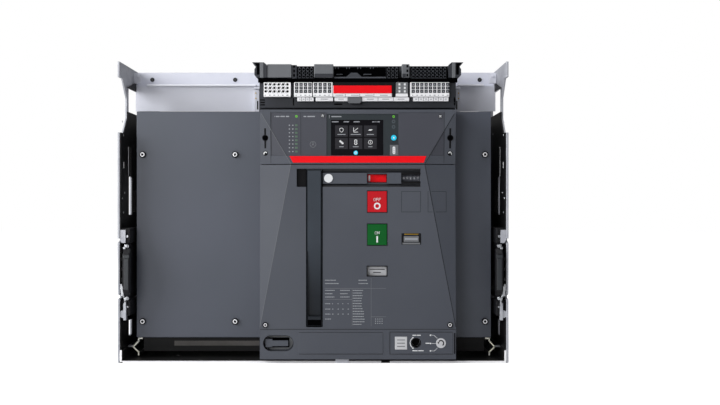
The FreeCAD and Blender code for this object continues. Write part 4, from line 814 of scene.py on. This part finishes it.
# Printed and inlaid marks of the cover
onMid, offMid, ringMid = middle(onX), middle(offX), offZ[0] + 8.6
drawn("whiteDisc", "whiteInk", "breaker",
      disc(leverX[1] + 9.4, flagMid, 6.1, (coverFace + 0.2, coverFace + 1.4), 36), 0.3)
draped("blankOutlines", "shadowInk",
       border((123.8, 150.8), offZ, ink, 0.6) + border((160.7, 187.1), offZ, ink, 0.6))
drawn("offMark", "whiteInk", "off_button",
      arc(offMid, ringMid, 2.7, 4.7, skin(offY[0]))
      + lettering("OFF", offMid, offZ[0] + 15.6, 3.9, skin(offY[0]), 0.14))
drawn("onMark", "whiteInk", "on_button",
      block(about(onMid, 1.1), skin(onY[0]), (onZ[0] + 3.8, onZ[0] + 12.8))
      + lettering("ON", onMid, onZ[0] + 15.4, 3.9, skin(onY[0]), 0.14))
drawn("flagMark", "whiteInk", "contact_flag",
      block((flagX[0] + 5.6, flagX[0] + 7.8), skin(flagY[0], sunk=0.3), about(flagMid, 4)))

# Black gaps round the buttons and windows
drawn("blackGaps", "blackInk", "breaker",
      joined(border(widen(x, 0.9), widen(z, 0.9, 1.1), skin(coverFace, 0.1), 0.75)
             for x, z in ((offX, offZ), (onX, onZ)))
      + border((76, 103.6), (flagMid - 6.2, flagMid + 6), (coverFace + 0.9, coverFace + 1.2), 0.8)
      + border((75.2, 104.4), about(springMid, 7.6), skin(coverFace, 0.1), 1.3))

# Counter: bands over and under the window and light digits on the wheels
wheelX, wheelY, wheelZ = spanOf("counter_upper_wheels")
unitX = spanOf("counter_units_wheel")[0]
counterMid = middle(wheelZ)
pitch = (wheelX[1] - wheelX[0]) / 4


def digit(word, x):
    return lettering(word, x, counterMid - 1.3, 2.6, skin(wheelY[0], sunk=0.25), 0.17)


drawn("counterBands", "blackInk", "breaker",
      blocks([(wheelX[0] - 1.2, unitX[1] + 1.2)], (coverFace + 0.2, coverFace + 1.3),
             [(counterMid + 4.6, counterMid + 7.4), (counterMid - 8, counterMid - 4.6)]))
drawn("upperDigits", "whiteInk", "counter_upper_wheels",
      joined(digit(word, wheelX[0] + pitch * (place + 0.5)) for place, word in enumerate("0024")))
drawn("unitsDigit", "whiteInk", "counter_units_wheel", digit("7", middle(unitX)))

# Reset window: a black frame, a brass line over the plate and a light plate edge
drawn("resetFrame", "blackInk", "breaker",
      border(widen(resetX, 3.1), widen(resetZ, 4, 4.1), skin(coverFace, 0.4), 1.6)
      + border(widen(resetX, 1.3), widen(resetZ, 2.2, 2.3), skin(coverFace, 0.2),
               1.4), 0.2)
drawn("resetBrass", "brassBit", "breaker",
      block(widen(resetX, -0.6), (coverFace - 0.65, coverFace - 0.3),
            (resetZ[1] + 2.4, resetZ[1] + 3.4)))
drawn("resetSill", "greyMoulding", "breaker",
      block(widen(resetX, 1.8), (coverFace - 0.5, coverFace - 0.1),
            (resetZ[0] - 3.6, resetZ[0] - 1.4)), 0.15)
drawn("resetMark", "greyInk", "reset_button",
      block(widen(resetX, -1.5), skin(resetY[0]), (resetZ[0] + 2.6, resetZ[0] + 5.2)))

# Spring indicator: two dark bars on the flat of its pale drum
springLeft, springWide = springX[0] + 4, springX[1] - springX[0] - 8
drawn("springMarks", "shadowInk", "spring_flag",
      joined(block((springLeft + springWide * low, springLeft + springWide * high),
                   skin(springY[0], 0.1, 0.3), about(z, 0.6))
             for z, low, high in ((springMid + 2.2, 0.1, 0.9), (springMid - 2.2, 0.3, 0.7))))

# Rating area: rule lines and plain dashes, nothing written
rating = {"left": 16.5, "split": 55, "edge": 81.6, "right": 102.3, "top": 106.2, "shelf": 90.8,
          "low": 66.6, "base": 53.6}


def rule(x0, x1, z):
    return block((rating[x0], rating[x1]), ink, (rating[z] - 0.25, rating[z] + 0.25))


# Dashes stand in rows, each a little longer or shorter than the next
def dashes(x, rows, longest, gap, seed):
    chance = random.Random(seed)
    solids = []
    for z in rows:
        spot = x
        while spot < x + longest * chance.uniform(0.6, 1):
            length = chance.uniform(0.9, 2.1)
            solids += block((spot, spot + length), ink, about(z, 0.5))
            spot += length + gap
    return solids


start = rating["left"] + 0.8
titleRows, typeRows, valueRows = (117.6, 113), (103.4, 98.8, 94.2), (84.8, 77.3, 70.3, 63.4)
drawn("ratingRules", "faintInk", "breaker",
      rule("left", "right", "top") + rule("left", "split", "shelf") + rule("edge", "right", "low")
      + block(about(rating["split"], 0.2), ink, (rating["base"], rating["top"]))
      + block(about(rating["edge"], 0.2), ink, (rating["base"], rating["top"] + 14.5)))
drawn("ratingDashes", "ratingInk", "breaker",
      dashes(start, typeRows, 13, 0.5, 3) + dashes(38.5, typeRows, 14, 0.5, 3)
      + dashes(start, valueRows, 8, 0.5, 4)
      + joined(dashes(x, valueRows[:3], 1.8, 1, 7) for x in (27.2, 34.8, 41.4, 48.8))
      + dashes(rating["split"] + 1, [103.4 - 3.65 * i for i in range(14)], 17, 0.5, 5)
      + dashes(start, titleRows, 22, 0.5, 9) + dashes(64, titleRows, 14, 0.5, 8)
      + blocks([(x, x + 1.2) for x in (87.2, 90.2, 93.2, 96.2)], ink,
               [about(z, 0.5) for z in (63.4, 60.4, 57.4)]))

# A painted shadow line where the foot of the cover meets the strip below it
draped("coverFoot", "shadowInk", block((coverLeft + 0.4, coverRight - 0.4), ink, (48.5, 49.4)))
print("cover")

# Upper unit: signalling plate, display with its tiles, keys and lights, port flap
plateY, displayY = faceOf("module_plates"), faceOf("display_module")
unit = {"top": 352.2, "base": 291.9, "lamp": -22.9, "locks": (-66.7, 192.3),
        "knobs": ((13.9, 347.6), (178.2, 346.6))}
lit, shown = skin(plateY, 0.15), skin(displayY, 0.25)
keyX, keyY, keyZ = spanOf("test_button")
homeX, homeY, homeZ = spanOf("home_button")
keyLamp = keyX[0] + 3.6
draped("unitGrooves", "shadowInk",
       blocks([about(x, 0.35) for x in (-58.9, 183.7)], skin(coverFace, 0.1, 0.2),
              [(seamZ + 1, unit["top"] + 0.6)])
       + block((-17.1, -16.6), lit, (unit["base"], unit["top"] - 0.2)))
draped("quarterSlots", "blackInk",
       blocks([about(x, 1.25) for x in unit["locks"]], skin(coverFace, sunk=0.2), [(302, 330)]))

# Turning marks: a small ring with a curved arrow under each quarter-turn lock
draped("ringMarks", "blackInk", joined(disc(x, 295.2, 3.6, ink, 24) for x in unit["locks"]))
arrowY = skin(coverFace, 0.25)
draped("ringArrows", "whiteInk",
       joined(arc(x, 295, 1.3, 2.6, arrowY, start, 150, 10)
              + prism([(x - way * 3, 295.2), (x - way * 0.8, 295.2), (x - way * 2, 293)], arrowY)
              for x, way, start in zip(unit["locks"], (1, -1), (20, 30))))

# Black mouths of the quarter-turn locks
for side in ("left", "right"):
    turnX, turnY, turnZ = spanOf("quarter_turn_" + side)
    drawn("lockMouth_" + side, "deepBlack", "quarter_turn_" + side,
          disc(middle(turnX), middle(turnZ), 3.4, skin(turnY[0], sunk=0.2), 24))

# Signalling plate: lights, knobs, embossed rings, and plain dashes where the real plates
# carry short captions
ledRows = [334.1 - 5.24 * i for i in range(8)]
placeCopies("statusLights", "dullLens", "breaker", [(unit["lamp"], plateY, z) for z in ledRows],
            block((-1.8, 1.8), (-0.2, 0.3), (-1.3, 1.3)), 0, 2, 0.2)
placeCopies("statusMarks", "greyInk", "breaker", [(x, plateY, z) for z in ledRows for x in (-27.9, -32.6)],
            block((-0.9, 0.9), (-0.12, 0.2), (-0.75, 0.75)))
drawn("plateLights", "greenLens", "breaker",
      arc(unit["lamp"], 346.6, 0.7, 1.9, lit, steps=8) + arc(keyLamp, 346.3, 0.7, 1.9, shown, steps=8))
drawn("plateKnobs", "darkKnob", "breaker",
      joined(disc(x, z, 3, (lit[0] - 0.6, lit[1]), 24) for x, z in unit["knobs"]), 0.5)
placeCopies("knobMarks", "whiteInk", "breaker", [(x, lit[0] - 0.7, z) for x, z in unit["knobs"]],
            stroke([(-1.2, -1.2), (1.2, 1.2)], 0.7, (-0.1, 0.2))
            + stroke([(-1.2, 1.2), (1.2, -1.2)], 0.7, (-0.1, 0.2)), 60, 6)
captionX = ((-53.8, -53.3), (-51.8, -46.4), (-45.2, -39), (-37.6, -33), (-12.9, -9), (-7.6, 3))
drawn("plateDashes", "greyInk", "breaker",
      blocks(captionX, lit, [(345.6, 347.2)]) + block((26, 40), shown, (345.5, 347)))
drawn("embossedRings", "faintInk", "breaker",
      arc(0.3, 307.4, 3.8, 4.4, lit) + arc(0.3, 308.6, 0.9, 1.5, lit, steps=12)
      + arc(0.3, 305.2, 1.4, 2.1, lit, 20, 140, 10))

# Display: glass, header strip, six tiles with plain symbols
tileX = ((31.2, 49.0), (50.9, 69.2), (71.6, 89.4))
tileZ = ((318.1, 333.8), (300.9, 316.3))
iconY = (displayY - 0.62, displayY - 0.45)
high, low = tileZ[0][0] + 9.3, tileZ[1][0] + 9.5
a, b, c = [middle(x) for x in tileX]
shield = [(a - 2.6, high + 1.8), (a, high + 3), (a + 2.6, high + 1.8), (a + 2.2, high - 1.2),
          (a, high - 3.2), (a - 2.2, high - 1.2), (a - 2.6, high + 1.8)]
axes = [(b - 3, high + 3), (b - 3, high - 2.8), (b + 3, high - 2.8)]
curve = [(b - 2, high - 1.4), (b, high + 0.4), (b + 2.8, high + 2.6)]
leaf = [(c - 3.2, high - 0.6), (c - 1.2, high + 1), (c + 3.2, high + 0.9), (c + 1.2, high - 0.8)]
headerX = ((26.8, 36), (43, 50.5), (57, 65.5), (83, 86.5), (87.6, 89), (90.2, 93.6))
drawn("screenGlass", "screenGlass", "breaker",
      block((25.4, 98.4), skin(displayY, 0.35), (unit["base"], 341.6)))
drawn("screenTiles", "screenTile", "breaker", blocks(tileX, (displayY - 0.5, displayY - 0.3), tileZ))
drawn("screenIcons", "whiteInk", "breaker",
      stroke(shield, 0.7, iconY) + stroke(axes, 0.7, iconY) + stroke(curve, 0.7, iconY) + prism(leaf, iconY)
      + joined(disc(a - 1.6 + 1.6 * step, low + 1.4 - 1.4 * step, 1.4, iconY, 12) for step in range(3))
      + joined(arc(b, z, 1.1, 2.2, iconY, steps=16) for z in (low + 1.7, low - 1.5))
      + arc(c, low, 2.5, 3.1, iconY, steps=20)
      + blocks([about(c, 0.35)], iconY, [(low - 1.7, low + 0.5), (low + 1.1, low + 1.8)]))
drawn("screenCaptions", "greyInk", "breaker",
      joined(block((middle(x) - wide * share, middle(x) + wide * share), iconY, (z[0] + 2.7, z[0] + 3.7))
             for x, wide in zip(tileX, (5.6, 7, 5)) for z, share in zip(tileZ, (1, 0.55))))
drawn("screenHeader", "greyInk", "breaker",
      blocks(headerX, iconY, [(338.3, 339.6)]) + block((22.8, 23.4), shown, (343.8, 348.4)))

# Keys, dark lights and the flap over the port
pill = circle(113.4, 302.6, 1.9, 8, 0, 180) + circle(113.4, 295.6, 1.9, 8, 180, 180)
keyMid, keyHigh = middle(keyX), middle(keyZ)
drawn("darkLights", "smokedLens", "breaker",
      joined(arc(keyLamp, z, 1.3, 2.5, shown, steps=20) for z in (339.4, 331.9)))
drawn("portFlap", "mouldedGrey", "breaker",
      block((107.9, 119.8), skin(displayY, 1.2), (unit["base"], 306.7)), 0.3)
drawn("portPill", "whiteInk", "breaker", prism(pill, (displayY - 1.35, displayY - 1.1)))
drawn("portPillMark", "greyInk", "breaker",
      blocks([(112.4, 114.4)], (displayY - 1.45, displayY - 1.3),
             [(z, z + 0.8) for z in (296, 298.3, 300.6)]))
drawn("testKeyMark", "whiteInk", "test_button",
      block(about(keyMid, 1), skin(keyY[0]), about(keyHigh, 1.1)))
drawn("homeKeyMark", "whiteInk", "home_button",
      arc(middle(homeX), middle(homeZ), 0.9, 1.7, skin(homeY[0]), steps=14))

# Red stripe: slanted ends follow the facets
stripeX, stripeY, stripeZ = spanOf("red_stripe")
stripeLine = [(stripeX[0] + 5, stripeZ[0]), (stripeX[1] - 3.5, stripeZ[0]), (stripeX[1], stripeZ[1]),
              (stripeX[0], stripeZ[1])]
stripe = drawn("redStripeBar", "redFilm", "breaker", prism(stripeLine, stripeY))
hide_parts("red_stripe")
print("upper unit")

# Racking strip under the cover: outlines, the padlock window, push plate, socket and dial
socketX, socketY, socketZ = spanOf("racking_screw")
pushX, pushY, pushZ = spanOf("racking_release_button")
dialX, dialY, dialZ = spanOf("position_dial")
lockX, lockZ = spanOf("padlock_lever")[::2]
socket = (middle(socketX), middle(socketZ))
dial = (middle(dialX), middle(dialZ))
keyHole = (91.1, 37.5)


def roundEnds(x, z):
    radius = (z[1] - z[0]) / 2
    return (circle(x[1] - radius, middle(z), radius, 12, -90, 180)
            + circle(x[0] + radius, middle(z), radius, 12, 90, 180))


# Leaders from the marks of the three positions to the dial, each with a square at its start
leaders = ([(166.5, 40.8), (169.3, 40.8), (173.9, 36.4)], [(166.5, 29.3), (171.5, 29.3)],
           [(166.5, 18.8), (169.9, 18.8), (174, 22.8)])
captions = (((139.3, 144.6), 40.7), ((145.4, 150.9), 40.7), ((157.6, 163), 29.6), ((139.3, 146.6), 19.1),
            ((147.4, 154.9), 19.1))


def arrowEnd(turn, way):
    x = socket[0] + 8.4 * math.cos(math.radians(turn))
    z = socket[1] + 8.4 * math.sin(math.radians(turn))
    return prism([(x + 2, z - way * 1.2), (x - 0.8, z - way * 1.2), (x - 0.4, z + way * 1.6)], ink)


pocket = ((-69.2, -27.3), (18.8, 40.1))
lockLine = roundEnds(*pocket)
draped("lockWindow", "blackInk", stroke(lockLine + lockLine[:1], 0.5, ink))
drawn("stripOutlines", "shadowInk", "breaker",
      joined(border(x, (13.9, 45), ink, 0.55) for x in ((-18.9, 97.7), (107.7, 195.9)))
      + arc(*keyHole, 5.3, 5.9, ink) + joined(disc(keyHole[0] - out, 29.6, 0.7, ink, 10) for out in (66, 60)))
drawn("dialLeaders", "whiteInk", "breaker",
      joined(stroke(line, 0.45, ink)
             + block((line[0][0] - 3, line[0][0] - 1), ink, (line[0][1] - 0.9, line[0][1] + 0.9))
             for line in leaders)
      + joined(block(x, ink, about(z, 0.6)) for x, z in captions))
pushBars = [pushZ[0] + (pushZ[1] - pushZ[0]) * share for share in (0.25, 0.5, 0.75)]
drawn("pushBars", "greyMoulding", "racking_release_button",
      blocks([widen(pushX, -3)], skin(pushY[0]), [about(z, 0.6) for z in pushBars]))
drawn("socketRing", "blackInk", "breaker", arc(*socket, 5.9, 7, ink))

# The pocket behind the padlock lever ends on a moulded floor, given a paler grey than the cover as painted
# light against the pocket's shade, with a dark gap round the lever
drawn("lockFloor", "greyMoulding", "breaker",
      prism(roundEnds(*[widen(span, -1) for span in pocket]), (coverFace + 9.2, coverFace + 10.1)))
drawn("leverGap", "deepBlack", "breaker",
      block(widen(lockX, 1.2, 1.4), (coverFace + 9, coverFace + 9.5),
            widen(lockZ, 1.4)))
drawn("socketArc", "whiteInk", "breaker",
      arc(*socket, 7.9, 8.8, ink, 125, 110, 14) + arrowEnd(125, -1) + arrowEnd(235, 1))
arrow = [widen(dial, 5, 1.6), widen(dial, 2.2, 1.6), (dial[0] - 3.4, dial[1] - 1.4)]
drawn("dialArrow", "blackInk", "position_dial",
      arc(*dial, 2.9, 4.5, skin(dialY[0]), -55, 195, 20) + prism(arrow, skin(dialY[0])))
drawn("screwSocket", "blackInk", "racking_screw", disc(*socket, 5.7, skin(socketY[0], 0.15, 0.2), 24))
drawn("stripSlit", "blackInk", "breaker", block((197.4, 199.2), ink, (14.7, 43.9)))
print("racking strip")


# Studio: pale floor, soft key from the upper left, gentle fill, white backdrop for the camera
studio = {"distance": 1.409, "height": 0.2297, "centreX": 0.0506, "world": 0.22, "floor": (-6, 6)}
lens = {"lens": 50, "sensor_width": 36, "shift_x": 0.0153, "shift_y": -0.0035}
lamps = {"keyLamp": (130, 2.2, (-3.0, -1.45, 1.4), (0, -0.1, 0.2)),
         "fillLamp": (15, 0.9, (-0.95, -2.3, 0.75), (0, -0.1, 0.2)),
         "topLamp": (18, 1.4, (0, -0.1, 1.9), (0, 0, 0.3))}


def makeStudio():
    scene = bpy.context.scene
    floor = bpy.data.meshes.new("floor")
    floor.from_pydata([(x, y, 0) for x, y in rectangle(studio["floor"], studio["floor"])], [], [(0, 1, 2, 3)])
    paper, tree, shader = newMaterial("paperFloor")
    shader.inputs["Base Color"].default_value = (0.8, 0.8, 0.8, 1)
    shader.inputs["Roughness"].default_value = 0.9
    glow = addNode(tree, "ShaderNodeEmission", {"Color": (1, 1, 1, 1), "Strength": 0.8})
    ray = addNode(tree, "ShaderNodeLightPath")
    both = addNode(tree, "ShaderNodeAddShader", {}, {0: shader.outputs[0], 1: glow.outputs[0]})
    pick = addNode(tree, "ShaderNodeMixShader", {}, {0: ray.outputs["Is Camera Ray"],
                                                     1: shader.outputs[0], 2: both.outputs[0]})
    tree.links.new(pick.outputs[0], tree.nodes["Material Output"].inputs["Surface"])
    floor.materials.append(paper)
    ground = newObject("floor", floor)
    world = bpy.data.worlds.new("studioWorld")
    scene.world = world
    world.use_nodes = True
    tree = world.node_tree
    background = tree.nodes["Background"]
    background.inputs["Color"].default_value = (1, 1, 1, 1)
    ray = addNode(tree, "ShaderNodeLightPath")
    seen = addNode(tree, "ShaderNodeMath", {"operation": "MAXIMUM"},
                   {0: ray.outputs["Is Camera Ray"], 1: ray.outputs["Is Transmission Ray"]})
    strength = addNode(tree, "ShaderNodeMapRange", {"To Min": studio["world"], "To Max": 1.0},
                       {"Value": seen.outputs[0]})
    tree.links.new(strength.outputs[0], background.inputs["Strength"])
    for name, (watts, size, place, aim) in lamps.items():
        light = bpy.data.lights.new(name, "AREA")
        light.energy = watts
        light.size = size
        lamp = newObject(name, light)
        lamp.location = place
        lamp.rotation_euler = (Vector(aim) - Vector(place)).to_track_quat("-Z", "Y").to_euler()
    camera = bpy.data.cameras.new("camera")
    for setting, value in lens.items():
        setattr(camera, setting, value)
    eye = newObject("camera", camera)
    eye.location = (studio["centreX"], wallFront * mm - studio["distance"], studio["height"])
    eye.rotation_euler = (math.radians(90), 0, 0)
    scene.camera = eye
    scene.view_settings.view_transform = "Standard"


makeStudio()
